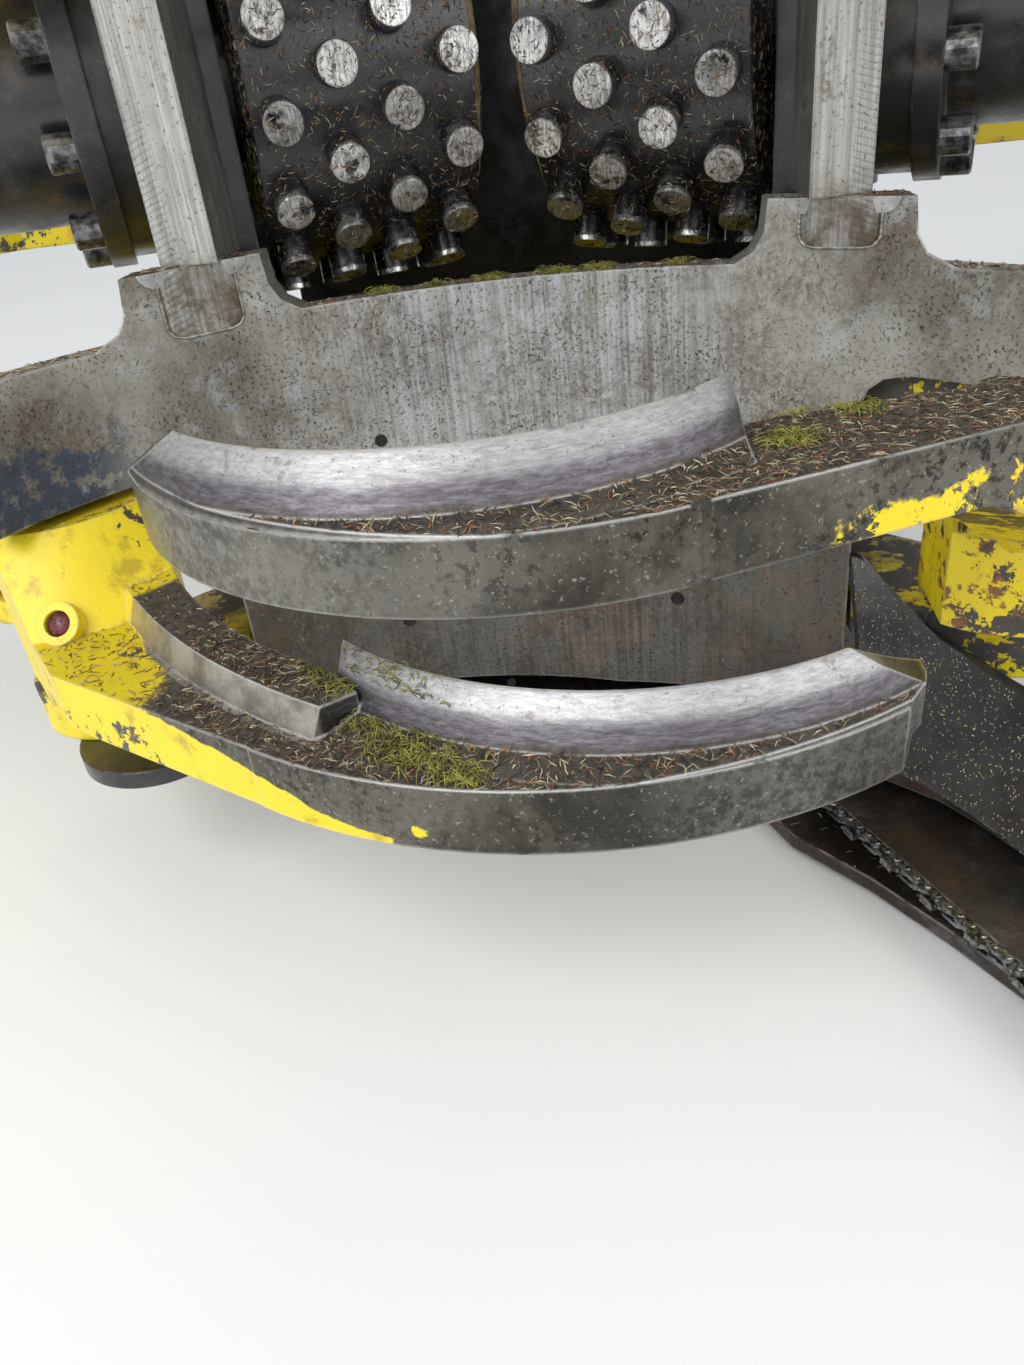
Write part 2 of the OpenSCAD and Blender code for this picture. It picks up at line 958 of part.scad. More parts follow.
module lower_knife_right() {
  color(yellow)
    place()
      mirror([1, 0, 0])
        knife_shape(false);
}

module upper_knife_left() {
  color(steel)
    place()
      translate([0, 0, pair_rise + 1])
        knife_shape(true);
}

module upper_knife_right() {
  color(yellow)
    place()
      translate([0, 0, pair_rise + 1])
        mirror([1, 0, 0])
          knife_shape(false);
}

// Barrel from foot to a point along the line to the eye, drawn on the right side
module barrel(foot, eye, z, r, len, eye_r, pin_r) {
  dir = atan2(eye[1] - foot[1], eye[0] - foot[0]);
  translate([foot[0], foot[1], z])
    rotate([0, 0, dir])
      difference() {
        union() {
          translate([0, 0, -22])
            cylinder(r = eye_r, h = 44);
          translate([0, 0, 0])
            rotate([0, 90, 0])
              cylinder(r = r * 0.6, h = eye_r + 20);
          translate([eye_r + 5, 0, 0])
            rotate([0, 90, 0])
              cylinder(r = r, h = len - eye_r - 5);
        }
        translate([0, 0, -60])
          cylinder(r = pin_r + pin_clearance, h = 120);
        translate([eye_r + 25, 0, 0])
          rotate([0, 90, 0])
            cylinder(r = r * 0.55 + pin_clearance, h = len);
      }
}

// Rod from its start in the barrel to a plain eye
module rod(foot, eye, z, r, start, eye_r) {
  dir = atan2(eye[1] - foot[1], eye[0] - foot[0]);
  dist = norm([eye[0] - foot[0], eye[1] - foot[1]]);
  translate([foot[0], foot[1], z])
    rotate([0, 0, dir]) {
      translate([start, 0, 0])
        rotate([0, 90, 0])
          cylinder(r = r * 0.55, h = dist - start - eye_r + 8);
      translate([dist, 0, -20])
        cylinder(r = eye_r, h = 40);
    }
}

module knife_barrel(side, lift) {
  color(dark)
    place()
      on_side(side)
        barrel(cyl_foot, knife_tail, cyl_z + lift, 40, 275, 34, 20);
}

module knife_rod(side, lift) {
  color(chrome)
    place()
      on_side(side)
        rod(cyl_foot, knife_tail, cyl_z + lift, 40, 196, 28);
}

module lower_knife_barrel_left() {
  knife_barrel(-1, 0);
}

module lower_knife_barrel_right() {
  knife_barrel(1, 0);
}

module lower_knife_rod_left() {
  knife_rod(-1, 0);
}

module lower_knife_rod_right() {
  knife_rod(1, 0);
}

module upper_knife_barrel_left() {
  knife_barrel(-1, pair_rise + 1);
}

module upper_knife_barrel_right() {
  knife_barrel(1, pair_rise + 1);
}

module upper_knife_rod_left() {
  knife_rod(-1, pair_rise + 1);
}

module upper_knife_rod_right() {
  knife_rod(1, pair_rise + 1);
}

module arm_barrel(side) {
  color(dark)
    place()
      on_side(side)
        barrel(arm_foot, arm_tail, roller_z, 28, 202, 26, 14);
}

module arm_rod(side) {
  color(chrome)
    place()
      on_side(side)
        rod(arm_foot, arm_tail, roller_z, 28, 60, 22);
}

module arm_barrel_left() {
  arm_barrel(-1);
}

module arm_barrel_right() {
  arm_barrel(1);
}

module arm_rod_left() {
  arm_rod(-1);
}

module arm_rod_right() {
  arm_rod(1);
}

module tilt_frame() {
  translate([0, 0, 0])
    multmatrix([[0, 0, 1, 0], [1, 0, 0, 0], [0, 1, 0, 0], [0, 0, 0, 1]])
      children();
}

module tilt_barrel() {
  color(dark)
    place()
      tilt_frame()
        barrel([tilt_foot_y, tilt_foot_z], [tilt_eye_y, tilt_eye_z], 0, 42, 257, 40, 22);
}

module tilt_rod() {
  color(chrome)
    place()
      tilt_frame()
        rod([tilt_foot_y, tilt_foot_z], [tilt_eye_y, tilt_eye_z], 0, 42, 237, 34);
}

hanger();
tilt_lugs();
tilt_pins();
spine();
lower_saddle();
upper_saddle();
posts();
lower_hinge_plates();
hinge_wear_plate();
upper_hinge_plates();
roller_brackets();
arm_brackets();
feed_motors();
saw_box();
saw_guard();
saw_motor();
top_cover();
top_knife();
knife_pins();
arm_pins();
valve_block();
frame_roller_left();
frame_roller_right();
feed_arm_left();
feed_arm_right();
arm_motor_left();
arm_motor_right();
arm_roller_left();
arm_roller_right();
lower_knife_left();
lower_knife_right();
upper_knife_left();
upper_knife_right();
lower_knife_barrel_left();
lower_knife_barrel_right();
lower_knife_rod_left();
lower_knife_rod_right();
upper_knife_barrel_left();
upper_knife_barrel_right();
upper_knife_rod_left();
upper_knife_rod_right();
arm_barrel_left();
arm_barrel_right();
arm_rod_left();
arm_rod_right();
tilt_barrel();
tilt_rod();
saw_bar();
saw_chain();
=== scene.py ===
"""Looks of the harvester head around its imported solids.

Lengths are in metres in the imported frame: x is the width, the trunk lies on
the -y side, z is up and the crane flange is at the origin.
"""
import json
import math
import random

import bmesh
import bpy
from mathutils import Matrix, Vector
from mathutils.bvhtree import BVHTree


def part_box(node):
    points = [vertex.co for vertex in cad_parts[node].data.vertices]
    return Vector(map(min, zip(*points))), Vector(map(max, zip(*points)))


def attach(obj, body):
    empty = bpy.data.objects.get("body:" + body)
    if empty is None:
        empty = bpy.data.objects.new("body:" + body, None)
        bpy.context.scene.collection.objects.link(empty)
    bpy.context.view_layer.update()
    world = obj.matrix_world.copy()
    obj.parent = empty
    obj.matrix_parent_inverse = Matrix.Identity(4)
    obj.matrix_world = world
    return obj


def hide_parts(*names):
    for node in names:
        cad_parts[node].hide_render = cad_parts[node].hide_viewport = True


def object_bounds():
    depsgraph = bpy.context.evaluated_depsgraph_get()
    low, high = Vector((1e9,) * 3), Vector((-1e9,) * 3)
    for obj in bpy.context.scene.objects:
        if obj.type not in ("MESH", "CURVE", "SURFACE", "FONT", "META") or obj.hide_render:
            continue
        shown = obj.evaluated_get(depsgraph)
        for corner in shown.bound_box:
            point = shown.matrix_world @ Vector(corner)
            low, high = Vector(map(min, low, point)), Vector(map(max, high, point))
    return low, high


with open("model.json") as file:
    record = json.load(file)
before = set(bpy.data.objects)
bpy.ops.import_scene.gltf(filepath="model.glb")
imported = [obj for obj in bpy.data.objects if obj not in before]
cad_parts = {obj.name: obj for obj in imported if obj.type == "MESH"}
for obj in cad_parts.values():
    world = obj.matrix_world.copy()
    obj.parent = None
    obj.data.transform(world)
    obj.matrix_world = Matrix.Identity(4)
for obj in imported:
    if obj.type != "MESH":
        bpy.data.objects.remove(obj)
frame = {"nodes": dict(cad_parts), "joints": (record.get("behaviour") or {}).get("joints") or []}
CAD_BOX = [list(corner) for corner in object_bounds()]

# The crane flange lies this far above the saw guard and behind the trunk face
FLANGE_Z = 1.330
FLANGE_Y = 0.060

# Camera of the photograph, in metres above the saw guard
CAMERA_AT = (0.0399, -0.8000, 0.5421)
CAMERA_YAW = -5.628
CAMERA_PITCH = 31.440
CAMERA_ROLL = 6.922
FOCAL_PIXELS = 1025
IMAGE_SIZE = (1024, 1365)
SENSOR = 36.0

# Sizes that the pieces share with the solids, in head millimetres
SADDLE_R = 395
ROLLER_AT = (137.17, 128, 547)
ROLLER_TILT = 21
DRUM_RADIUS_M = {"frame_roller_": 0.137, "arm_roller_": 0.121}
KNIFE_PIN = (345, -100)
PAIR_RISE = 571
LEVELS = (("lower", 0), ("upper", PAIR_RISE))
KNIFE_ARC = (170, 95)
KNIFE_R = 535
TILT_FOOT = (62, 470, 420)
BAR_AT = (150, 60)
BAR_ANGLE = -66
BAR_HALF = 42
SEED = 11

# Which of the litter's tones a bit takes: dark, brown, tan, straw, orange
NEEDLE_TONES = (0, 0, 1, 1, 1, 2, 2, 3, 4)
CHIP_TONES = (2, 3, 3)


def in_frame(x, y, z):
    """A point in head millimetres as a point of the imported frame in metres."""
    return Vector((x / 1000, y / 1000 - FLANGE_Y, z / 1000 - FLANGE_Z))


def head_z(z):
    """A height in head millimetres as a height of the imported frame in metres."""
    return z / 1000 - FLANGE_Z


def make_camera():
    """The photograph's camera: turned by yaw, tipped by pitch, then rolled."""
    yaw, pitch, roll = (math.radians(a) for a in (CAMERA_YAW, CAMERA_PITCH, CAMERA_ROLL))
    flat = math.cos(pitch)
    forward = Vector((math.sin(yaw) * flat, math.cos(yaw) * flat, -math.sin(pitch)))
    right0 = Vector((math.cos(yaw), -math.sin(yaw), 0))
    up0 = right0.cross(forward)
    right = math.cos(roll) * right0 - math.sin(roll) * up0
    up = math.sin(roll) * right0 + math.cos(roll) * up0
    data = bpy.data.cameras.new("photo_camera")
    data.sensor_fit = "VERTICAL"
    data.sensor_height = SENSOR
    data.lens = FOCAL_PIXELS * SENSOR / IMAGE_SIZE[1]
    data.clip_start = 0.01
    camera = bpy.data.objects.new("photo_camera", data)
    bpy.context.scene.collection.objects.link(camera)
    axes = Matrix((right, up, -forward)).transposed().to_4x4()
    x, y, z = CAMERA_AT
    camera.matrix_world = Matrix.Translation((x, y - FLANGE_Y, z - FLANGE_Z)) @ axes
    bpy.context.scene.camera = camera


class Nodes:
    """A short way to write a material's nodes."""

    def __init__(self, name):
        self.material = bpy.data.materials.new(name)
        self.material.use_nodes = True
        self.tree = self.material.node_tree
        self.tree.nodes.clear()
        self.shader = self.tree.nodes.new("ShaderNodeBsdfPrincipled")
        out = self.tree.nodes.new("ShaderNodeOutputMaterial")
        self.tree.links.new(self.shader.outputs[0], out.inputs[0])
        self.place = self.add("ShaderNodeTexCoord").outputs["Object"]
        self.bevel = None

    def add(self, kind, **settings):
        node = self.tree.nodes.new(kind)
        for key, value in settings.items():
            setattr(node, key, value)
        return node

    def put(self, socket, value):
        if hasattr(value, "is_linked"):
            self.tree.links.new(value, socket)
        elif socket.type == "RGBA":
            socket.default_value = (*value, 1) if len(value) == 3 else value
        else:
            socket.default_value = value

    def scaled(self, x=1.0, y=1.0, z=1.0):
        """The place stretched along each axis."""
        node = self.add("ShaderNodeMapping")
        self.put(node.inputs["Vector"], self.place)
        node.inputs["Scale"].default_value = (x, y, z)
        return node.outputs[0]

    def noise(self, scale, detail=6.0, rough=0.6, distortion=0.0, place=None):
        node = self.add("ShaderNodeTexNoise")
        self.put(node.inputs["Vector"], place or self.place)
        self.put(node.inputs["Scale"], scale)
        self.put(node.inputs["Detail"], detail)
        self.put(node.inputs["Roughness"], rough)
        self.put(node.inputs["Distortion"], distortion)
        return node.outputs["Fac"]

    def cells(self, scale):
        node = self.add("ShaderNodeTexVoronoi")
        self.put(node.inputs["Vector"], self.place)
        self.put(node.inputs["Scale"], scale)
        return node.outputs["Distance"]

    def step(self, value, low, high, out_low=0.0, out_high=1.0):
        """A smooth rise from out_low at low to out_high at high."""
        node = self.add("ShaderNodeMapRange", interpolation_type="SMOOTHSTEP")
        self.put(node.inputs["Value"], value)
        ends = {"From Min": low, "From Max": high, "To Min": out_low, "To Max": out_high}
        for key, number in ends.items():
            node.inputs[key].default_value = number
        return node.outputs[0]

    def math(self, operation, a, b=0.0, c=0.0):
        node = self.add("ShaderNodeMath", operation=operation)
        for socket, value in zip(node.inputs, (a, b, c)):
            self.put(socket, value)
        return node.outputs[0]

    def times(self, a, b):
        return self.math("MULTIPLY", a, b)

    def plus(self, a, b):
        return self.math("ADD", a, b)

    def minus(self, a, b):
        return self.math("SUBTRACT", a, b)

    def most(self, a, b):
        return self.math("MAXIMUM", a, b)

    def absolute(self, a):
        return self.math("ABSOLUTE", a)

    def mix(self, factor, a, b):
        node = self.add("ShaderNodeMix", data_type="RGBA")
        self.put(node.inputs[0], factor)
        self.put(node.inputs[6], a)
        self.put(node.inputs[7], b)
        return node.outputs[2]

    def axis(self, name, place=None):
        node = self.add("ShaderNodeSeparateXYZ")
        self.put(node.inputs[0], place or self.place)
        return node.outputs[name]

    def facing_up(self):
        """1 where the surface looks up, 0 where it is steep."""
        return self.axis("Z", self.add("ShaderNodeTexCoord").outputs["Normal"])

    def vector(self, operation, a, b):
        node = self.add("ShaderNodeVectorMath", operation=operation)
        for socket, value in zip(node.inputs, (a, b)):
            self.put(socket, value)
        return node.outputs["Value" if operation == "DOT_PRODUCT" else "Vector"]

    def distance(self, a, b, at_a, at_b):
        """Distance in the plane of two coordinates from a point."""
        da, db = self.minus(a, at_a), self.minus(b, at_b)
        return self.math("SQRT", self.plus(self.times(da, da), self.times(db, db)))

    def head_place(self, mirrored, lift):
        """The place in head millimetres, moved to where the left knife of the lower pair is."""
        node = self.add("ShaderNodeMapping")
        self.put(node.inputs["Vector"], self.place)
        node.inputs["Scale"].default_value = (-1000 if mirrored else 1000, 1000, 1000)
        node.inputs["Location"].default_value = (0, FLANGE_Y * 1000, FLANGE_Z * 1000 - lift)
        return node.outputs[0]

    def rounded(self):
        """The normal with its sharp edges rounded off."""
        if self.bevel is None:
            self.bevel = self.add("ShaderNodeBevel", samples=2)
            self.bevel.inputs["Radius"].default_value = 0.0025
        return self.bevel.outputs[0]

    def edges(self):
        """1 near a sharp edge, from how far its normal is rounded."""
        flat_normal = self.add("ShaderNodeNewGeometry").outputs["Normal"]
        same = self.vector("DOT_PRODUCT", self.rounded(), flat_normal)
        return self.step(same, 0.962, 0.915)

    def yellow(self, bare_at):
        """Yellow paint and where it is chipped away."""
        tone = self.noise(7, 4, 0.5)
        paint = self.mix(tone, (0.80, 0.60, 0.008), (0.92, 0.74, 0.015))
        grime = self.step(self.noise(34, 6, 0.7), 0.54, 0.68, 0, 0.55)
        paint = self.mix(grime, paint, (0.30, 0.17, 0.02))
        chips = self.plus(self.times(self.noise(11, 7, 0.68, 0.3), 0.7),
                          self.times(self.noise(70, 5, 0.7), 0.3))
        return paint, self.step(chips, bare_at - 0.012, bare_at)

    def bump(self, height, strength=0.3, distance=0.001, rounding=False):
        node = self.add("ShaderNodeBump")
        self.put(node.inputs["Height"], height)
        node.inputs["Strength"].default_value = strength
        node.inputs["Distance"].default_value = distance
        if rounding:
            self.tree.links.new(self.rounded(), node.inputs["Normal"])
        self.tree.links.new(node.outputs[0], self.shader.inputs["Normal"])

    def surface(self, colour, rough, metal=0.0):
        self.put(self.shader.inputs["Base Color"], colour)
        self.put(self.shader.inputs["Roughness"], rough)
        self.put(self.shader.inputs["Metallic"], metal)
        return self.material


def worn_steel(name, light=(0.43, 0.415, 0.37), deep=(0.21, 0.19, 0.155), blue_wing=False):
    """Plate rubbed bare by bark: brushed upright, stained brown, darker low in the trough; the rubbed
    middle is bluish silver with a painted sheen, and the edges carry a painted highlight.
    """
    n = Nodes(name)
    height = n.axis("Z")
    across = n.axis("X")
    patches = n.noise(7, 8, 0.62, 0.4)
    brush = n.noise(5, 5, 0.65, 0.0, n.scaled(60, 60, 1.6))
    specks = n.noise(190, 3, 0.7)
    base = n.mix(n.step(patches, 0.33, 0.66), deep, light)
    # the middle of the trough turns bluish silver: steel rubbed bare by bark, brightened and tinted blue as
    # a painted sheen
    middle = n.step(n.absolute(n.minus(across, 0.01)), 0.22, 0.07, 0.12, 1.0)
    rubbed_silver_and_sheen = n.times(middle, n.step(brush, 0.36, 0.66, 0.1, 0.8))
    rubbed_silver_and_sheen = n.most(rubbed_silver_and_sheen, n.step(n.noise(36, 7, 0.72), 0.48, 0.66, 0, 0.5))
    base = n.mix(rubbed_silver_and_sheen, base, (0.60, 0.64, 0.68))
    base = n.mix(n.times(middle, n.step(brush, 0.5, 0.25, 0, 0.4)), base, (0.09, 0.085, 0.075))
    warm = n.times(n.step(n.noise(13, 6, 0.7), 0.42, 0.62), n.step(specks, 0.3, 0.62))
    base = n.mix(n.times(warm, 0.6), base, (0.13, 0.088, 0.045))
    low = n.step(n.plus(height, n.times(patches, 0.08)), head_z(315), head_z(235))
    soot = n.mix(n.step(n.noise(22, 6, 0.65), 0.45, 0.7), (0.035, 0.028, 0.022), (0.12, 0.055, 0.022))
    base = n.mix(n.times(low, 0.72), base, soot)
    if blue_wing:
        ragged = n.plus(height, n.times(n.noise(30, 7, 0.7), 0.09))
        wing = n.times(n.step(across, -0.262, -0.30), n.step(ragged, head_z(398), head_z(386)))
        base = n.mix(n.times(wing, n.step(n.noise(60, 6, 0.75), 0.62, 0.5)), base, (0.085, 0.105, 0.15))
    clouds = n.step(n.noise(16, 5, 0.7), 0.36, 0.60, 0.3, 0.95)
    pepper = n.times(n.step(n.noise(420, 3, 0.7), 0.54, 0.63), clouds)
    base = n.mix(pepper, base, (0.055, 0.045, 0.032))
    # edges lightened: steel rubbed bare by bark, with a painted highlight along them
    worn = n.edges()
    base = n.mix(n.times(worn, n.step(n.noise(45, 4, 0.6), 0.35, 0.55)), base, (0.66, 0.65, 0.62))
    rough = n.step(n.plus(patches, n.times(specks, 0.3)), 0.4, 0.85, 0.3, 0.55)
    n.bump(n.plus(specks, n.plus(patches, n.times(brush, middle))), 0.3, 0.0007, True)
    return n.surface(base, rough, 0.7)


def post_steel(name):
    """Bright strip, brushed along its length, with a few dark and brown marks."""
    n = Nodes(name)
    brush = n.noise(7, 6, 0.7, 0.0, n.scaled(80, 80, 1.2))
    marks = n.noise(26, 7, 0.72, 0.3)
    base = n.mix(n.step(brush, 0.3, 0.72), (0.27, 0.265, 0.245), (0.58, 0.57, 0.54))
    base = n.mix(n.step(marks, 0.58, 0.68, 0, 0.8), base, (0.16, 0.13, 0.095))
    low = n.step(n.axis("Z"), head_z(470), head_z(420))
    base = n.mix(n.times(low, n.step(marks, 0.42, 0.6)), base, (0.15, 0.12, 0.085))
    # saw marks across the outer third, low on the post
    slant = n.plus(n.axis("Z"), n.times(n.absolute(n.axis("X")), 0.35))
    slant = n.plus(slant, n.times(n.noise(30, 3, 0.6), 0.006))
    waves = n.math("SINE", n.times(slant, 1500))
    outer = n.step(n.absolute(n.axis("X")), 0.218, 0.226)
    waves = n.times(n.times(waves, outer), n.step(n.axis("Z"), head_z(590), head_z(500)))
    base = n.mix(n.step(waves, 0.3, 1.0, 0, 0.38), base, (0.12, 0.115, 0.10))
    base = n.mix(n.step(n.noise(380, 3, 0.7), 0.58, 0.68, 0, 0.8), base, (0.07, 0.06, 0.045))
    height = n.plus(brush, n.times(marks, 0.5))
    n.bump(n.minus(height, n.times(waves, 0.35)), 0.2, 0.0005, True)
    return n.surface(base, n.step(marks, 0.4, 0.65, 0.28, 0.5), 0.75)


def chipped_paint(name, bare_at, worn_right=False):
    """Yellow paint with chips down to dark primer, dusted from above; worn_right bares its right side."""
    n = Nodes(name)
    base, bare = n.yellow(bare_at)
    if worn_right:
        more = n.times(n.step(n.axis("X"), 0.12, 0.2), n.step(n.noise(24, 7, 0.7), 0.46, 0.49))
        bare = n.most(bare, more)
    under = n.mix(n.noise(40, 4, 0.6), (0.035, 0.034, 0.035), (0.12, 0.11, 0.10))
    base = n.mix(bare, base, under)
    dirt = n.times(n.step(n.facing_up(), 0.6, 0.95), n.step(n.noise(25, 6, 0.7), 0.42, 0.62))
    base = n.mix(n.times(dirt, 0.8), base, (0.085, 0.062, 0.038))
    worn = n.times(n.edges(), n.step(n.noise(60, 5, 0.7), 0.45, 0.55))
    base = n.mix(worn, base, (0.3, 0.29, 0.27))
    rough = n.step(bare, 0, 1, 0.34, 0.55)
    n.bump(n.minus(n.times(n.noise(220, 2, 0.5), 0.15), bare), 0.35, 0.0006, True)
    return n.surface(base, rough, 0.0)


def dark_paint(name, dust_amount=0.5):
    """Black machine paint, oily, dusty and scuffed at its edges."""
    n = Nodes(name)
    base = n.mix(n.noise(14, 6, 0.6), (0.009, 0.009, 0.011), (0.03, 0.03, 0.033))
    dust = n.times(n.step(n.noise(55, 7, 0.75), 0.5, 0.66), dust_amount)
    n.shader.inputs["Specular IOR Level"].default_value = 0.8
    base = n.mix(dust, base, (0.11, 0.075, 0.045))
    crumbs = n.step(n.cells(330), 0.13, 0.05, 0, 1)
    base = n.mix(n.times(crumbs, n.step(n.noise(18, 4, 0.6), 0.5, 0.6)), base, (0.3, 0.19, 0.1))
    worn = n.times(n.edges(), n.step(n.noise(50, 5, 0.7), 0.48, 0.6))
    base = n.mix(worn, base, (0.22, 0.22, 0.22))
    n.bump(n.noise(90, 5, 0.6), 0.2, 0.0006, True)
    return n.surface(base, n.step(n.noise(30, 4, 0.6), 0.35, 0.7, 0.2, 0.5), 0.1)


def roller_skin(name, centre, axis, drum):
    """Black oily drum whose studs are polished on top."""
    n = Nodes(name)
    away = n.vector("SUBTRACT", n.place, centre)
    along = n.vector("DOT_PRODUCT", away, axis)
    far = n.vector("DOT_PRODUCT", away, away)
    radius = n.math("SQRT", n.minus(far, n.times(along, along)))
    base = n.mix(n.noise(17, 6, 0.6), (0.006, 0.006, 0.008), (0.024, 0.024, 0.027))
    dust = n.times(n.step(n.noise(60, 7, 0.75), 0.55, 0.66), 0.35)
    base = n.mix(dust, base, (0.13, 0.095, 0.055))
    crumbs = n.times(n.step(n.cells(300), 0.16, 0.06, 0, 1), n.step(n.noise(22, 4, 0.6), 0.46, 0.56))
    base = n.mix(crumbs, base, (0.34, 0.24, 0.12))
    scratch = n.noise(12, 6, 0.7, 0.0, n.scaled(50, 9, 9))
    n.shader.inputs["Specular IOR Level"].default_value = 0.9
    top = n.step(n.plus(radius, n.times(n.noise(150, 4, 0.6), 0.003)), drum + 0.0155, drum + 0.0172)
    bright = n.mix(n.step(scratch, 0.35, 0.62), (0.30, 0.29, 0.28), (0.82, 0.81, 0.79))
    base = n.mix(n.times(top, n.step(n.noise(80, 5, 0.7), 0.66, 0.5)), base, bright)
    side = n.times(n.step(radius, drum + 0.002, drum + 0.015), n.step(n.noise(70, 5, 0.7), 0.46, 0.58))
    base = n.mix(n.times(side, 0.4), base, (0.3, 0.29, 0.28))
    n.bump(n.plus(n.noise(90, 5, 0.6), scratch), 0.25, 0.0007, True)
    rough = n.step(n.noise(30, 4, 0.6), 0.35, 0.7, 0.13, 0.38)
    return n.surface(base, rough, n.step(top, 0, 1, 0.3, 0.85))


def knife_steel(name, mirrored, lift, low):
    """Knife casting: polished lip, littered top, grey band, yellow left on its root.

    x, y and z are millimetres on the left knife of the lower pair.
    """
    n = Nodes(name)
    place = n.head_place(mirrored, lift)
    x, y, z = (n.axis(a, place) for a in "XYZ")
    up = n.facing_up()
    patches = n.noise(12, 7, 0.65, 0.3)
    fine = n.noise(170, 5, 0.72)
    from_hinge = n.distance(x, y, -KNIFE_PIN[0], KNIFE_PIN[1])
    # band and undersides
    base = n.mix(n.step(patches, 0.34, 0.66), (0.038, 0.034, 0.027), (0.160, 0.150, 0.125))
    pits = n.step(n.cells(420), 0.2, 0.1, 0, 1)
    base = n.mix(n.times(pits, n.step(n.noise(25, 5, 0.6), 0.45, 0.6)), base, (0.045, 0.038, 0.03))
    pepper = n.times(n.step(fine, 0.50, 0.60), n.step(n.noise(13, 5, 0.65), 0.36, 0.58, 0.3, 1.0))
    base = n.mix(pepper, base, (0.03, 0.027, 0.022))
    base = n.mix(n.step(n.noise(330, 3, 0.7), 0.60, 0.68, 0, 0.55), base, (0.42, 0.41, 0.37))
    tip_light = n.step(x, 0, 190) if low else n.step(x, -40, 120)
    base = n.mix(n.times(tip_light, n.step(fine, 0.42, 0.62, 0.1, 0.6)), base, (0.36, 0.35, 0.32))
    # yellow left on the root and along the band
    paint, bare = n.yellow(0.60 if low else 0.56)
    under = n.mix(n.noise(40, 4, 0.6), (0.03, 0.028, 0.028), (0.10, 0.08, 0.07))
    paint = n.mix(bare, paint, under)
    ragged = n.minus(n.noise(16, 7, 0.7), 0.5)
    if low:
        from_arc = n.distance(x, y, *KNIFE_ARC)
        reach = n.step(n.plus(n.plus(x, n.times(y, -0.25)), n.times(ragged, 150)), -150, -165)
        outside = n.step(from_arc, KNIFE_R - 1.5, KNIFE_R + 0.5)
        ramp = n.times(reach, n.most(outside, n.step(from_hinge, 128, 120)))
        line = n.plus(n.step(x, -240, -40, 240, 200), n.times(ragged, 18))
        band = n.step(n.minus(line, z), -0.6, 0.6)
        band = n.times(band, n.step(n.distance(x, y, 25, -95), 306, 309))
        band = n.times(band, n.step(n.plus(x, n.times(ragged, 26)), -68, -70))
        spot = n.step(n.plus(n.distance(x, z, -57, 211), n.times(ragged, 40)), 6.0, 4.5)
        zone = n.most(n.most(ramp, band), spot)
    else:
        along = n.plus(x, n.times(ragged, 110))
        zone = n.times(n.step(along, -150, -158), n.step(n.plus(z, n.times(ragged, 70)), 344, 340))
        zone = n.times(zone, n.step(n.noise(26, 7, 0.72), 0.548, 0.53))
        zone = n.times(zone, n.most(n.step(along, -246, -236), n.step(n.noise(60, 6, 0.7), 0.46, 0.44)))
        root = n.step(n.plus(from_hinge, n.times(ragged, 90)), 152, 146)
        zone = n.most(zone, root)
        rust = n.mix(n.noise(90, 5, 0.7), (0.16, 0.055, 0.018), (0.34, 0.15, 0.05))
        paint = n.mix(n.step(n.noise(52, 7, 0.75), 0.55, 0.60), paint, rust)
    base = n.mix(zone, base, paint)
    # needle litter on what lies flat
    flat = n.step(up, 0.90, 0.975)
    carpet = n.mix(n.step(fine, 0.36, 0.62), (0.020, 0.018, 0.015), (0.078, 0.064, 0.047))
    carpet = n.mix(n.times(n.step(n.cells(420), 0.2, 0.08, 0, 1), 0.6), carpet, (0.22, 0.17, 0.11))
    thick = n.plus(n.times(patches, 0.6), n.times(fine, 0.4))
    litter = n.times(flat, n.step(thick, 0.36, 0.50, 0.45, 1.0))
    litter = n.times(litter, n.minus(1.0, n.times(zone, 0.75)))
    base = n.mix(litter, base, carpet)
    if low:
        chamfer = n.times(n.step(from_arc, KNIFE_R - 12.5, KNIFE_R - 11),
                          n.step(from_arc, KNIFE_R + 2, KNIFE_R + 0.5))
        chamfer = n.times(n.times(chamfer, n.step(z, 239, 241)), n.step(x, -108, -112))
        strip = n.mix(n.step(n.noise(30, 6, 0.7), 0.36, 0.62), (0.24, 0.22, 0.19), (0.50, 0.47, 0.42))
        base = n.mix(n.times(chamfer, n.minus(0.92, n.times(zone, 0.9))), base, strip)
    # polished lip, bright above and blue-grey below
    foot = 240 if low else 365
    inner = n.distance(x, y, 63, -154) if low else n.distance(x, y, 31, -173)
    edge_r = 220 if low else 183
    on_lip = n.times(n.step(n.plus(z, n.times(ragged, 3)), foot + 1.5, foot + 4),
                     n.step(inner, edge_r + 42, edge_r + 34))
    start = n.step(x, -112, -96) if low else n.step(x, -125, -105)
    on_lip = n.times(on_lip, start)
    slide = n.noise(20, 6, 0.7, 0.2, n.scaled(5, 9, 30))
    polish = n.mix(n.step(slide, 0.30, 0.72), (0.30, 0.295, 0.305), (0.50, 0.495, 0.50))
    polish = n.mix(n.times(n.step(n.noise(60, 5, 0.7), 0.58, 0.66), 0.6), polish, (0.15, 0.12, 0.10))
    lower_slope = n.mix(n.step(slide, 0.35, 0.7), (0.085, 0.075, 0.085), (0.19, 0.18, 0.20))
    high_up = n.step(n.plus(z, n.times(ragged, 6)), foot + 15, foot + 25)
    lip = n.mix(high_up, lower_slope, polish)
    lip = n.mix(n.step(n.noise(620, 3, 0.7), 0.62, 0.68, 0, 0.8), lip, (0.05, 0.04, 0.03))
    soiled = n.step(n.plus(z, n.times(ragged, 12)), foot + 11, foot + 6)
    lip = n.mix(n.times(soiled, 0.85), lip, carpet)
    base = n.mix(on_lip, base, lip)
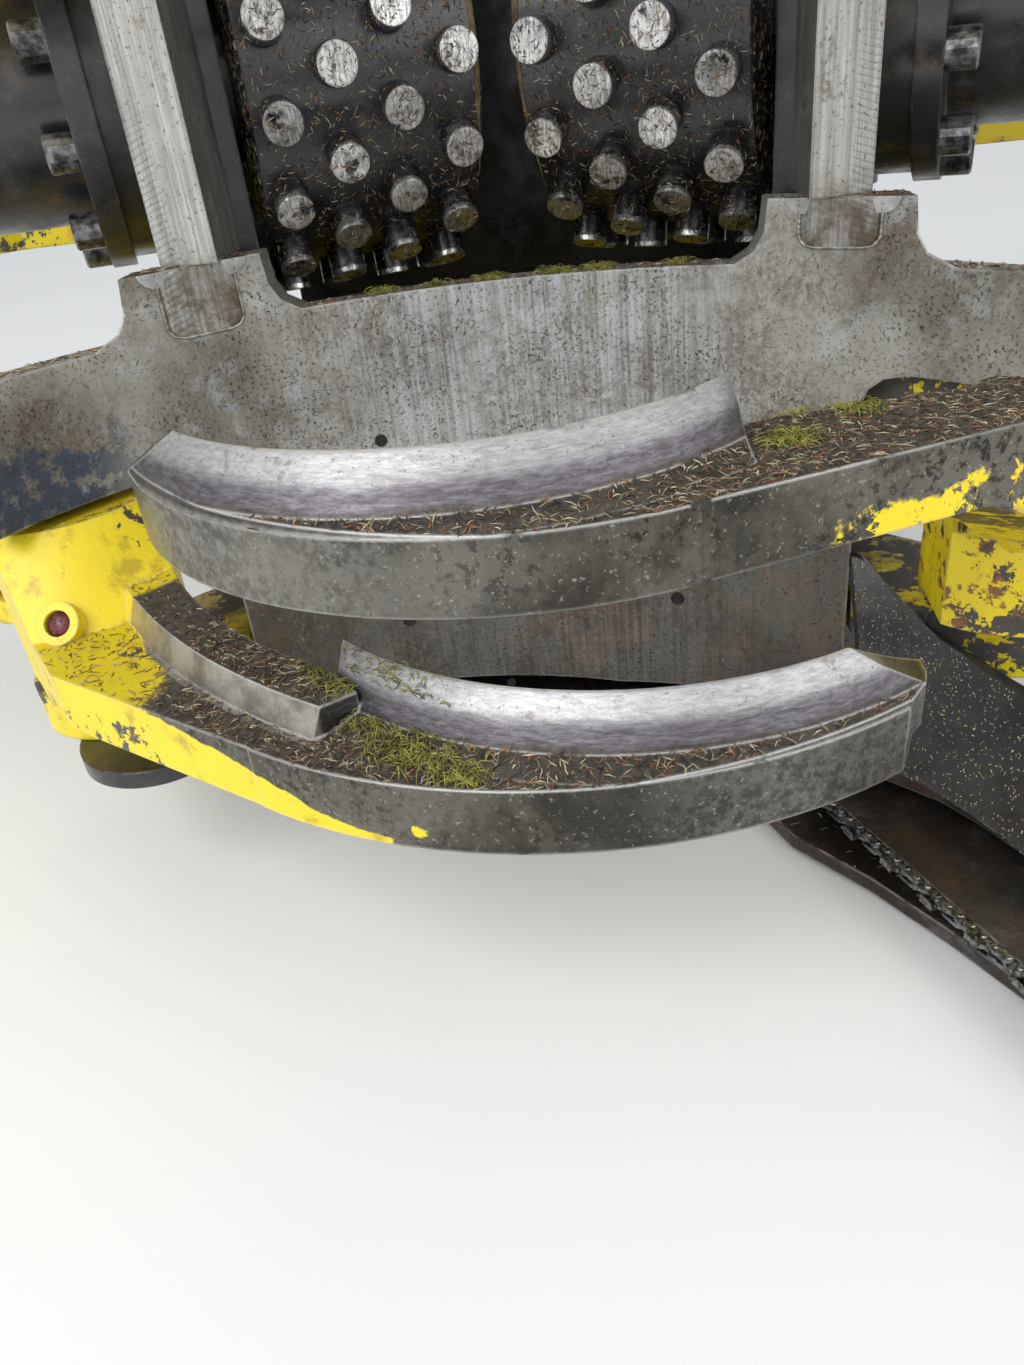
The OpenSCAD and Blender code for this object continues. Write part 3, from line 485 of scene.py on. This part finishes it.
    # bright line on the edges: steel rubbed bare by bark, lightened to near white as a painted highlight
    worn = n.times(n.edges(), n.step(n.noise(55, 4, 0.6), 0.30, 0.44))
    worn = n.times(worn, n.step(x, -250, -150, 0.35, 1.0))
    if not low:
        worn = n.times(worn, n.step(n.absolute(n.plus(x, 90.5)), 4, 6))
    base = n.mix(worn, base, (0.92, 0.91, 0.88))
    rough = n.most(n.step(litter, 0, 1, 0.36, 0.85), n.times(zone, 0.38))
    rough = n.most(rough, n.times(on_lip, 0.46))
    shine = n.times(n.minus(0.8, n.times(litter, 0.75)), n.minus(1.0, zone))
    n.bump(n.plus(n.plus(fine, patches), n.times(slide, 0.6)), 0.35, 0.0009, True)
    return n.surface(base, rough, shine)


def chrome(name):
    """Polished rod with oily smears."""
    n = Nodes(name)
    smear = n.noise(20, 5, 0.6)
    base = n.mix(n.step(smear, 0.45, 0.7), (0.62, 0.62, 0.64), (0.34, 0.33, 0.31))
    n.bump(n.noise(400, 2, 0.5), 0.05, 0.0002)
    return n.surface(base, n.step(smear, 0.4, 0.7, 0.12, 0.35), 1.0)


def pin_steel(name):
    """End of a pin: grey steel, greasy and dusty."""
    n = Nodes(name)
    base = n.mix(n.step(n.noise(40, 6, 0.65), 0.4, 0.6), (0.09, 0.085, 0.08), (0.30, 0.29, 0.28))
    base = n.mix(n.step(n.noise(18, 5, 0.6), 0.55, 0.65), base, (0.05, 0.035, 0.025))
    n.bump(n.noise(120, 4, 0.6), 0.25, 0.0006, True)
    return n.surface(base, 0.4, 0.7)


def plain_look(name, dark, light, scale, rough, metal=0.0):
    """Small piece in two mixed tones."""
    n = Nodes(name)
    grain = n.noise(scale, 5, 0.65)
    n.bump(grain, 0.3, 0.0004)
    return n.surface(n.mix(n.step(grain, 0.35, 0.65), dark, light), rough, metal)


def floor_material():
    """Pale grey floor."""
    n = Nodes("pale_floor")
    tone = n.noise(2, 4, 0.5)
    base = n.mix(tone, (0.80, 0.80, 0.79), (0.86, 0.86, 0.85))
    return n.surface(base, 0.8, 0.0)


def make_stage():
    """The floor, just under the lowest solid."""
    mesh = bpy.data.meshes.new("floor")
    b = bmesh.new()
    bmesh.ops.create_grid(b, x_segments=2, y_segments=2, size=30)
    b.to_mesh(mesh)
    b.free()
    floor = bpy.data.objects.new("floor", mesh)
    floor.location = (0, 0, CAD_BOX[0][2] - 0.004)
    bpy.context.scene.collection.objects.link(floor)
    floor.data.materials.append(floor_material())


def area_light(name, at, look_at, size, power):
    data = bpy.data.lights.new(name, "AREA")
    data.shape = "RECTANGLE"
    data.size, data.size_y = size
    data.energy = power
    light = bpy.data.objects.new(name, data)
    light.location = at
    light.rotation_euler = (Vector(look_at) - Vector(at)).to_track_quat("-Z", "Y").to_euler()
    bpy.context.scene.collection.objects.link(light)


def make_light():
    """Two soft lights and a sky that is seen white and lights a little blue."""
    world = bpy.data.worlds.new("studio")
    bpy.context.scene.world = world
    world.use_nodes = True
    tree = world.node_tree
    tree.nodes.clear()
    out = tree.nodes.new("ShaderNodeOutputWorld")
    seen = tree.nodes.new("ShaderNodeBackground")
    seen.inputs["Color"].default_value = (1, 1, 1, 1)
    seen.inputs["Strength"].default_value = 1.0
    lit = tree.nodes.new("ShaderNodeBackground")
    lit.inputs["Color"].default_value = (0.93, 0.96, 1.0, 1)
    lit.inputs["Strength"].default_value = 0.75
    path = tree.nodes.new("ShaderNodeLightPath")
    mix = tree.nodes.new("ShaderNodeMixShader")
    seen_by = path.outputs["Is Camera Ray"]
    for ray in ("Is Glossy Ray", "Is Transmission Ray"):
        most = tree.nodes.new("ShaderNodeMath")
        most.operation = "MAXIMUM"
        tree.links.new(seen_by, most.inputs[0])
        tree.links.new(path.outputs[ray], most.inputs[1])
        seen_by = most.outputs[0]
    tree.links.new(seen_by, mix.inputs[0])
    tree.links.new(lit.outputs[0], mix.inputs[1])
    tree.links.new(seen.outputs[0], mix.inputs[2])
    tree.links.new(mix.outputs[0], out.inputs[0])
    area_light("key", (-1.6, -2.6, 1.6), (0, -0.2, -0.8), (2.4, 2.4), 98)
    area_light("fill", (2.2, -1.6, 0.4), (0, 0, -0.8), (2, 2), 25)


def roller_of(name):
    """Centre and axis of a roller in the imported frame."""
    joint = next(j for j in frame["joints"] if j["name"] == name + "_spin")
    return joint["pos_m"], joint["axis"]


def paint_frame():
    """Looks of the solids; those not named here are black, and rods are chrome."""
    yellow = chipped_paint("yellow_paint", 0.595)
    black = dark_paint("black_paint")
    pin = pin_steel("pin_steel")
    shiny = chrome("rod_chrome")
    by_node = {
        "hanger": yellow,
        "tilt_lugs": yellow,
        "lower_hinge_plates": chipped_paint("hinge_paint", 0.545, worn_right=True),
        "upper_hinge_plates": yellow,
        "top_cover": yellow,
        "tilt_pins": pin,
        "knife_pins": pin,
        "arm_pins": pin,
        "lower_saddle": worn_steel("saddle_steel", blue_wing=True),
        "upper_saddle": worn_steel("upper_steel"),
        "posts": post_steel("post_steel"),
        "saw_box": worn_steel("saw_box_steel", (0.10, 0.095, 0.085), (0.035, 0.032, 0.028)),
        "saw_guard": dark_paint("guard_steel", 0.15),
        "top_knife": worn_steel("top_knife_steel"),
        "saw_bar": worn_steel("bar_steel", (0.22, 0.21, 0.2), (0.08, 0.07, 0.06)),
        "lower_knife_left": knife_steel("knife_low_left", False, 0, True),
        "lower_knife_right": knife_steel("knife_low_right", True, 0, False),
        "upper_knife_left": knife_steel("knife_high_left", False, PAIR_RISE, True),
        "upper_knife_right": knife_steel("knife_high_right", True, PAIR_RISE, False),
    }
    for side in ("left", "right"):
        by_node["feed_arm_" + side] = yellow
        for kind, drum in DRUM_RADIUS_M.items():
            centre, axis = roller_of(kind + side)
            by_node[kind + side] = roller_skin(kind + side + "_skin", centre, axis, drum)
    for name, obj in frame["nodes"].items():
        look = by_node.get(name) or (shiny if "_rod" in name else black)
        obj.data.materials.clear()
        obj.data.materials.append(look)


class Shape:
    """A mesh gathered solid by solid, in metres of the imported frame."""

    def __init__(self):
        self.points = []
        self.faces = []

    def rings(self, rings):
        """A closed skin over rings with equal numbers of points."""
        first, count = len(self.points), len(rings[0])
        for ring in rings:
            self.points += ring
        for r in range(len(rings) - 1):
            for i in range(count):
                a, b = first + r * count + i, first + r * count + (i + 1) % count
                self.faces.append((a, b, b + count, a + count))
        last = first + (len(rings) - 1) * count
        self.faces.append(tuple(range(first, first + count))[::-1])
        self.faces.append(tuple(range(last, last + count)))

    def turned(self, at, axis, profile, count=16, six_sided=()):
        """Rings along an axis from (distance, radius) in millimetres; the rings listed are hexagons."""
        axis = Vector(axis).normalized()
        u = axis.orthogonal().normalized()
        v = axis.cross(u)
        rings = []
        for k, (along, radius) in enumerate(profile):
            ring = []
            for i in range(count):
                t = 2 * math.pi * i / count
                r = radius / 1000
                if k in six_sided:
                    r *= math.cos(math.pi / 6) / math.cos(t % (math.pi / 3) - math.pi / 6)
                ring.append(at + axis * (along / 1000) + (u * math.cos(t) + v * math.sin(t)) * r)
            rings.append(ring)
        self.rings(rings)

    def tube(self, path, radii, sides, up):
        """A tube along a path with a radius at each point, in metres."""
        rings = []
        for k, at in enumerate(path):
            ahead = (path[min(k + 1, len(path) - 1)] - path[max(k - 1, 0)]).normalized()
            side = ahead.cross(up).normalized()
            top = side.cross(ahead)
            turns = [2 * math.pi * i / sides for i in range(sides)]
            rings.append([at + (side * math.cos(t) + top * math.sin(t)) * radii[k] for t in turns])
        self.rings(rings)

    def make(self, name, body, material, slot, smooth=False):
        """The finished piece, riding on a body."""
        mesh = bpy.data.meshes.new(name)
        mesh.from_pydata(self.points, [], self.faces)
        b = bmesh.new()
        b.from_mesh(mesh)
        bmesh.ops.recalc_face_normals(b, faces=b.faces)
        b.to_mesh(mesh)
        b.free()
        if smooth:
            mesh.polygons.foreach_set("use_smooth", [True] * len(mesh.polygons))
        piece = bpy.data.objects.new(name, mesh)
        bpy.context.scene.collection.objects.link(piece)
        mesh.materials.append(material)
        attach(piece, body)
        return piece


def hex_bolt(shape, at, axis, corner):
    """Washer and hexagon head with a chamfered top."""
    s = corner
    profile = [(-0.5, 1.5 * s), (0.2 * s, 1.5 * s), (0.2 * s, s), (0.95 * s, s), (1.1 * s, 0.84 * s)]
    shape.turned(at, axis, profile, 12, (2, 3))


def cap_screw(shape, at, axis, radius, height):
    """Round head with a socket sunk in its end."""
    r, h = radius, height
    shape.turned(at, axis, [(-0.5, r), (h - 1.5, r), (h, r - 1.5), (h, 0.55 * r), (0.5 * h, 0.5 * r)])


def trunk_face(x, z, proud):
    """A point on the trunk face of the saddles, raised towards the trunk."""
    r = SADDLE_R - proud
    return in_frame(x, math.sqrt(r * r - x * x) - SADDLE_R, z)


def make_post_feet(bright, weld_and_highlight):
    """Tongues that carry the posts down on to the saddle, their weld beads, light in tone as a painted
    highlight round each tongue, and bright corners.
    """
    feet, beads, corners = Shape(), Shape(), Shape()
    top, half, corner, steps = 440.6, 22, 9, 27
    for x0, low in ((-215, 396), (217, 410)):
        rings, left, right = [], [], []
        for i in range(steps + 1):
            z = top - (top - low) * i / steps
            drop = max(0.0, low + corner - z)
            w = half - corner + math.sqrt(max(0.0, corner * corner - drop * drop))
            section = [(-w, -1), (-w, 0.4), (3.0 - w, 1.6), (-w / 3, 2.0)]
            section += [(w / 3, 2.0), (w - 3.0, 1.6), (w, 0.4), (w, -1)]
            rings.append([trunk_face(x0 + dx, z, proud) for dx, proud in section])
            left.append((x0 - w - 1, z))
            right.append((x0 + w + 1, z))
        feet.rings(rings)
        outline = left + right[::-1]
        path = [trunk_face(x, z, 0.6) for x, z in outline]
        radii = [0.0012 + 0.0004 * math.sin(2.1 * k) for k in range(len(path))]
        beads.tube(path, radii, 6, Vector((-x0 / SADDLE_R, -1, 0)))
        for side in (-1, 1):
            arc = [math.radians(180 + 15 * i) for i in range(13)]
            rings = []
            for radius, proud in ((10, -2), (10, 1.2), (9, 1.6)):
                spots = [(x0 + side * half + radius * math.cos(t), 441 + radius * math.sin(t)) for t in arc]
                rings.append([trunk_face(x, z, proud) for x, z in spots])
            corners.rings(rings)
    feet.make("post_feet", "frame", bright, "steel")
    beads.make("post_feet_welds", "frame", weld_and_highlight, "steel", True)
    shine = plain_look("corner_steel", (0.42, 0.42, 0.41), (0.74, 0.73, 0.71), 60, 0.3, 0.8)
    corners.make("post_corners", "frame", shine, "steel")


def roller_axes(side):
    """Centre of a frame roller, the way out along its axis and the way back across it."""
    tilt = math.radians(ROLLER_TILT)
    out = Vector((side * math.cos(tilt), -math.sin(tilt), 0))
    back = Vector((side * math.sin(tilt), math.cos(tilt), 0))
    return in_frame(side * ROLLER_AT[0], ROLLER_AT[1], ROLLER_AT[2]), out, back


def make_bolts(steel):
    """Screws of the motor flanges, top cover and valve block, and the caps of the knife pins."""
    shape = Shape()
    flange_face, screw_circle = 0.196, 0.104
    for side in (-1, 1):
        centre, out, back = roller_axes(side)
        for k in range(10):
            t = math.radians(180 - 36 * k)
            ring = Vector((0, 0, 1)) * math.cos(t) - back * math.sin(t)
            cap_screw(shape, centre + out * flange_face + ring * screw_circle, out, 12.5, 20)
        for _, lift in LEVELS:
            at = in_frame(side * KNIFE_PIN[0], KNIFE_PIN[1], 334 + lift)
            shape.turned(at, (0, 0, 1), [(-0.5, 41), (5, 41), (7, 39)], 32)
            for k in range(4):
                t = math.radians(45 + 90 * k)
                spot = at + Vector((math.cos(t), math.sin(t), 0)) * 0.027 + Vector((0, 0, 0.007))
                hex_bolt(shape, spot, (0, 0, 1), 6.5)
        for y in (56, 220):
            hex_bolt(shape, in_frame(side * 118, y, 1045), (0, 0, 1), 9)
        for x in (30, 62):
            hex_bolt(shape, in_frame(side * x, 315, 195), (0, 1, 0), 12)
            hex_bolt(shape, in_frame(side * x, 315, 232), (0, 1, 0), 12)
    shape.make("screws", "frame", steel, "dark")


def make_tilt_pin(steel):
    """Pin of the tilt cylinder's foot, with a bolted cap on each lug."""
    shape = Shape()
    lug_face, y, z = TILT_FOOT
    shape.turned(in_frame(-lug_face, y, z), (1, 0, 0), [(1, 21.5), (2 * lug_face - 1, 21.5)], 32)
    for side in (-1, 1):
        out = Vector((side, 0, 0))
        face = in_frame(side * lug_face, y, z)
        shape.turned(face, out, [(-0.5, 33), (5, 33), (7, 31)], 32)
        for k in range(3):
            t = math.radians(30 + 120 * k)
            spot = face + Vector((side * 7, 21 * math.cos(t), 21 * math.sin(t))) / 1000
            hex_bolt(shape, spot, out, 6)
    shape.make("tilt_foot_pin", "frame", steel, "dark")


def make_lid(paint):
    """Lid on the top cover and a small plate on it, both with a bevelled edge."""
    shape = Shape()
    # half width, front, back, foot, edge, top and bevel
    for half, front, back, foot, edge, top, bevel in ((130, 36, 240, 1040, 1043, 1045, 3),
                                                      (40, 110, 166, 1044, 1051, 1054, 4)):
        rings = []
        for z, inset in ((foot, 0), (edge, 0), (top, bevel)):
            x, y0, y1 = half - inset, front + inset, back - inset
            rings.append([in_frame(a, b, z) for a, b in ((-x, y0), (x, y0), (x, y1), (-x, y1))])
        shape.rings(rings)
    shape.make("top_lid", "frame", paint, "yellow")


def make_glands(steel):
    """Gland nut of each knife cylinder with its oil union."""
    foot, eye = Vector((145, 285, 235)), Vector((442, -44, 235))
    barrel_r, mouth_at, unions_at = 39, 257, (62, 238)
    collar = [(0, barrel_r), (0, 41.6), (15, 41.6), (18.4, barrel_r), (18.4, 24)]
    union = [(0, 12), (4, 12), (4, 9), (13, 9), (13, 6)]
    for level, lift in LEVELS:
        for name, side in (("left", -1), ("right", 1)):
            shape = Shape()
            start = Vector((side * foot.x, foot.y, foot.z + lift))
            along = Vector((side * (eye.x - foot.x), eye.y - foot.y, 0)).normalized()
            shape.turned(in_frame(*(start + along * mouth_at)), along, collar, 32)
            for far in unions_at:
                at = start + along * far + Vector((0, 0, barrel_r))
                shape.turned(in_frame(*at), (0, 0, 1), union, 12, (2, 3))
            shape.make(f"{level}_gland_{name}", f"{level}_knife_barrel_{name}", steel, "dark")


def make_grease(grease):
    """Old grease in the boss of each knife's grease nipple."""
    axis = Vector((0, -math.sin(math.radians(52)), math.cos(math.radians(52))))
    rng = random.Random(SEED + 5)
    for level, lift in LEVELS:
        for name, at in (("left", (-314, -207, 247)), ("right", (318, -172, 246))):
            shape = Shape()
            centre = in_frame(at[0], at[1], at[2] + lift)
            shape.turned(centre, axis, [(0.5, 8.6), (4, 8.8), (6.2, 7.6), (7.4, 5), (7.9, 1.5)], 14)
            for _ in range(16):
                turn, far, size = rng.uniform(0, 6.28), rng.uniform(0, 6.5), rng.uniform(1.0, 2.4)
                u = axis.orthogonal().normalized()
                away = (u * math.cos(turn) + axis.cross(u) * math.sin(turn)) * far / 1000
                spot = centre + away + axis * (7.2 - far * 0.25) / 1000
                lump = [(-1, size), (0.4, size), (0.4 + size * 0.6, size * 0.4)]
                shape.turned(spot, axis + away * 60, lump, 7)
            shape.make(f"{level}_grease_{name}", f"{level}_knife_{name}", grease, "dark", True)


def make_hole_rims(black):
    """Holes of the lower saddle, from (x, z, radius), as black caps whose black is painted shade."""
    shape = Shape()
    for x, z, r in ((-117, 293, 5), (-119, 133, 6), (112, 133, 6), (-39, 52, 4)):
        at = trunk_face(x, z, 0)
        axis = Vector((-x / SADDLE_R, -1, 0))
        shape.turned(at, axis, [(-1, r), (0.5, r), (0.9, r * 0.8), (0.3, r * 0.45)], 14)
    shape.make("saddle_holes", "frame", black, "dark")


def make_chain(steel):
    """Saw chain: drive links, paired straps, rivets and alternating cutters round the bar."""
    shape = Shape()
    straight, bend, pairs = 658.0, BAR_HALF, 78
    loop = 2 * straight + 2 * math.pi * bend
    turn = math.radians(BAR_ANGLE)

    def place(s, n, z):
        """The point n millimetres outside the bar's edge at distance s round the loop."""
        s = s % loop
        if s < straight:
            at, out = (s, -bend), (0, -1)
        elif s < straight + math.pi * bend:
            t = (s - straight) / bend - math.pi / 2
            out = (math.cos(t), math.sin(t))
            at = (straight + bend * out[0], bend * out[1])
        elif s < 2 * straight + math.pi * bend:
            at, out = (2 * straight + math.pi * bend - s, bend), (0, 1)
        else:
            t = (s - 2 * straight - math.pi * bend) / bend + math.pi / 2
            out = (math.cos(t), math.sin(t))
            at = (bend * out[0], bend * out[1])
        x, y = at[0] + out[0] * n, at[1] + out[1] * n
        return in_frame(BAR_AT[0] + x * math.cos(turn) - y * math.sin(turn),
                        BAR_AT[1] + x * math.sin(turn) + y * math.cos(turn), z)

    def flat(s, outline, z0, z1):
        shape.rings([[place(s + t, n, z) for t, n in outline] for z in (z0, z1)])

    strap = [(-8.6, 2.2), (-6.6, 0.6), (6.6, 0.6), (8.6, 2.2)]
    strap += [(8.6, 5.6), (6.6, 7.4), (-6.6, 7.4), (-8.6, 5.6)]
    drive = [(-8.0, 0.3), (8.0, 0.3), (9.0, 3.2), (7.0, 6.6), (0, 7.8), (-7.0, 6.6), (-9.0, 3.2)]
    tooth = [(-7.6, 6.8), (8.2, 6.8), (8.6, 11.6), (6.0, 11.6), (-3.5, 10.4), (-4.4, 8.4), (-7.6, 9.6)]
    roof = [(-3.4, 10.2), (8.4, 11.0), (8.4, 11.8), (-3.4, 11.0)]
    rivet = [(0, 1.8), (0.5, 2.4), (9.7, 2.4), (10.2, 1.8)]
    step = loop / pairs
    for i in range(pairs):
        s = i * step
        flat(s, drive, 32.8, 35.2)
        flat(s + step / 2, strap, 29.8, 32.4)
        flat(s + step / 2, strap, 35.6, 38.2)
        if i % 2:
            near, far = ((29.8, 31.8), (30.2, 36.0)) if i % 4 == 1 else ((36.2, 38.2), (32.0, 37.8))
            flat(s + step / 2, tooth, *near)
            flat(s + step / 2, roof, *far)
        for ds in (-step / 4, step / 4):
            shape.turned(place(s + step / 2 + ds, 3.8, 28.9), (0, 0, 1), rivet, 8)
    chain = shape.make("saw_chain_links", "saw", steel, "dark")
    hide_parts("saw_chain")


def tree_of(node):
    """Search tree over the surface of a solid."""
    mesh = frame["nodes"][node].data
    return BVHTree.FromPolygons([v.co for v in mesh.vertices], [p.vertices[:] for p in mesh.polygons])


def landings(node, count, rng, down, least=0.9, where=None):
    """Points of a solid that a ray along down meets first, with their normals, where they face it."""
    tree = tree_of(node)
    low, high = (Vector(c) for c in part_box(node))
    down = Vector(down)
    found = []
    for _ in range(count):
        start = Vector([rng.uniform(a, b) for a, b in zip(low, high)]) - down * 2
        at, normal, _, _ = tree.ray_cast(start, down)
        chance = rng.random()
        if at is None or -normal.dot(down) < least:
            continue
        spot = (at.x * 1000, (at.y + FLANGE_Y) * 1000, (at.z + FLANGE_Z) * 1000)
        if where is None or chance < where(*spot):
            found.append((at, normal))
    return tree, found


def lay_bit(shape, tree, at, normal, rng, length, thick):
    """A bent needle or chip that lies on the solid along its whole length."""
    turn = rng.uniform(0, 2 * math.pi)
    u = normal.orthogonal().normalized()
    along = u * math.cos(turn) + normal.cross(u) * math.sin(turn)
    sag = rng.uniform(-0.12, 0.12) * length
    path = []
    for k in (-0.5, 0.0, 0.5):
        bow = normal.cross(along) * sag * (1 - 4 * k * k)
        near, up, _, gap = tree.find_nearest(at + along * length * k + bow)
        if near is None or gap > 0.0015 or up.dot(normal) < 0.7:
            return
        path.append(near + up * (thick * 0.7 + (0.0007 * rng.random() if k == 0.0 else 0)))
    shape.tube(path, [thick * 0.45, thick, thick * 0.45], 3, normal)


def make_litter(tones):
    """Needles, bark crumbs and chips caught on the knives, the saddle, the rollers and the guard."""
    # solid, tries, ray, least facing, lengths in mm, thickness in m, name
    plans = [
        ("lower_knife_left", 42000, (0, 0, -1), 0.86, (2, 8), 0.00034, "needles_low_left"),
        ("lower_knife_right", 36000, (0, 0, -1), 0.86, (2, 8), 0.00034, "needles_low_right"),
        ("upper_knife_left", 3000, (0, 0, -1), 0.9, (4, 12), 0.0005, "needles_high_left"),
        ("upper_knife_right", 3000, (0, 0, -1), 0.9, (4, 12), 0.0005, "needles_high_right"),
        ("lower_saddle", 9000, (0, 0, -1), 0.9, (2, 9), 0.0004, "needles_saddle"),
        ("lower_saddle", 1100, (0, 1, 0), 0.5, (1.5, 6), 0.0003, "needles_face"),
        ("saw_box", 3500, (0, 0, -1), 0.9, (2, 9), 0.0004, "needles_saw_box"),
        ("saw_guard", 1700, (0, 1, 0), 0.2, (0.6, 2.4), 0.0004, "chips_guard"),
        ("frame_roller_left", 6500, (0, 1, 0), 0.3, (1, 6), 0.00035, "needles_roller_left"),
        ("frame_roller_right", 6500, (0, 1, 0), 0.3, (1, 6), 0.00035, "needles_roller_right"),
    ]
    bodies = {"lower_saddle": "frame", "saw_box": "frame", "saw_guard": "frame"}
    for k, (node, count, down, least, length, thick, name) in enumerate(plans):
        rng = random.Random(SEED + 20 + k)
        tree, found = landings(node, count, rng, down, least, LITTER_THIN.get(node))
        shapes = [Shape() for _ in tones]
        for at, normal in found:
            shape = shapes[rng.choice(CHIP_TONES if node == "saw_guard" else NEEDLE_TONES)]
            long = rng.uniform(*length) / 1000
            lay_bit(shape, tree, at, normal, rng, long, thick * rng.uniform(0.7, 1.3))
        for tone, (shape, look) in enumerate(zip(shapes, tones)):
            if shape.faces:
                shape.make(f"{name}_{tone}", bodies.get(node, node), look, "dark")


def by_pin(x, y):
    """True where a knife turns close under its pin."""
    return math.hypot(abs(x) - KNIFE_PIN[0], y - KNIFE_PIN[1]) < 64


def thin_on_low_knife(x, y, z):
    """Share of the needles that stays: few on the polished lip and on the painted root."""
    if by_pin(x, y):
        return 0
    if x < -205:
        return 0.22
    return 0.10 if x > -95 and z > 246 else 1.0


def thin_on_high_knife(x, y, z):
    """Share of the needles that stays: few on the polished lip."""
    if by_pin(x, y):
        return 0
    return 0.12 if z > 372 else 1.0


LITTER_THIN = {"lower_knife_left": thin_on_low_knife, "lower_knife_right": thin_on_high_knife}


def make_moss(look):
    """Tufts of moss on the knife tops, each strand bowed down to what it lies on."""
    # x, y and reach of each tuft
    spots = {
        "lower_knife_left": [(-128, -267, 20), (-112, -296, 18), (-101, -315, 18), (-66, -358, 22),
                             (-84, -340, 16), (-32, -392, 16), (-48, -321, 14), (-52, -372, 18)],
        "lower_saddle": [(-98, 0, 7), (-20, 8, 8), (30, 8, 9), (62, 5, 8), (-60, 5, 5), (120, -8, 6)],
        "lower_knife_right": [(129, -248, 14), (150, -250, 16), (172, -247, 14), (143, -301, 12),
                              (186, -262, 10)],
    }
    for k, (node, tufts) in enumerate(spots.items()):
        rng = random.Random(SEED + 60 + k)
        tree, shape = tree_of(node), Shape()
        for x, y, reach in tufts:
            for _ in range(int(reach * 10)):
                turn, far = rng.uniform(0, 2 * math.pi), reach * math.sqrt(rng.random())
                start = in_frame(x + far * math.cos(turn), y + far * math.sin(turn), 700)
                at, normal, _, _ = tree.ray_cast(start, Vector((0, 0, -1)))
                if at is None or normal.z < 0.6:
                    continue
                turn = rng.uniform(0, 2 * math.pi)
                length = rng.uniform(5, 13) / 1000
                rise = rng.uniform(1, 4.5) / 1000
                along = Vector((math.cos(turn), math.sin(turn), 0)) * length
                end, _, _, gap = tree.find_nearest(at + along)
                if gap > 0.003:
                    continue
                path = [at, at + (end - at) * 0.35 + Vector((0, 0, rise)),
                        at + (end - at) * 0.7 + Vector((0, 0, rise * 0.8)), end + Vector((0, 0, 0.0004))]
                shape.tube(path, [0.0002, 0.00034, 0.0003, 0.00012], 3, Vector((0.1, 0.2, 1)))
        shape.make(f"moss_{k}", "frame" if node == "lower_saddle" else node, look, "dark")


def make_grass(look):
    """Dry stalks that lie round the inner rim of each frame roller, beside its studs."""
    rng = random.Random(SEED + 80)
    for name, side in (("left", -1), ("right", 1)):
        shape = Shape()
        centre, out, back = roller_axes(side)
        for _ in range(6):
            first, span, rim = rng.uniform(35, 85), rng.uniform(25, 60), rng.uniform(-79.6, -77.4)
            path = []
            for i in range(13):
                t = math.radians(first + span * i / 12)
                ring = Vector((0, 0, 1)) * math.cos(t) - back * math.sin(t)
                path.append(centre + out * (rim + 0.6 * math.sin(0.9 * i)) / 1000 + ring * 0.1375)
            shape.tube(path, [0.0005] * 13, 4, out)
        shape.make("grass_stalks_" + name, "frame_roller_" + name, look, "dark")


def dress():
    """All pieces that are added to the solids."""
    steel = plain_look("screw_steel", (0.03, 0.03, 0.032), (0.27, 0.27, 0.27), 90, 0.35, 0.7)
    # near-black for the saddle's holes: painted shade
    black = plain_look("hole_shade_black", (0.004, 0.004, 0.004), (0.02, 0.015, 0.012), 200, 0.8)
    # weld steel in a light tone that also serves as a painted highlight on the tongues' edges
    weld_and_highlight = plain_look("weld_and_highlight", (0.17, 0.16, 0.14), (0.44, 0.42, 0.38), 120, 0.4, 0.6)
    make_post_feet(post_steel("post_foot_steel"), weld_and_highlight)
    make_bolts(steel)
    make_tilt_pin(steel)
    make_lid(chipped_paint("lid_paint", 0.595))
    make_glands(steel)
    make_grease(plain_look("grease", (0.045, 0.006, 0.010), (0.20, 0.035, 0.045), 260, 0.35))
    make_hole_rims(black)
    make_chain(plain_look("chain_steel", (0.03, 0.03, 0.03), (0.30, 0.30, 0.29), 300, 0.32, 0.85))
    make_litter([plain_look("needle_dark", (0.012, 0.010, 0.008), (0.07, 0.05, 0.03), 130, 0.7),
                 plain_look("needle_brown", (0.05, 0.034, 0.02), (0.19, 0.125, 0.07), 130, 0.7),
                 plain_look("needle_tan", (0.16, 0.12, 0.07), (0.42, 0.34, 0.22), 130, 0.7),
                 plain_look("needle_straw", (0.30, 0.27, 0.15), (0.62, 0.57, 0.40), 130, 0.65),
                 plain_look("needle_orange", (0.14, 0.05, 0.02), (0.36, 0.15, 0.06), 130, 0.7)])
    make_grass(plain_look("grass", (0.07, 0.045, 0.02), (0.26, 0.18, 0.08), 80, 0.7))
    make_moss(plain_look("moss", (0.075, 0.08, 0.014), (0.34, 0.32, 0.06), 110, 0.75))


make_camera()
make_stage()
make_light()
paint_frame()
dress()
bpy.context.scene.view_settings.view_transform = "Standard"
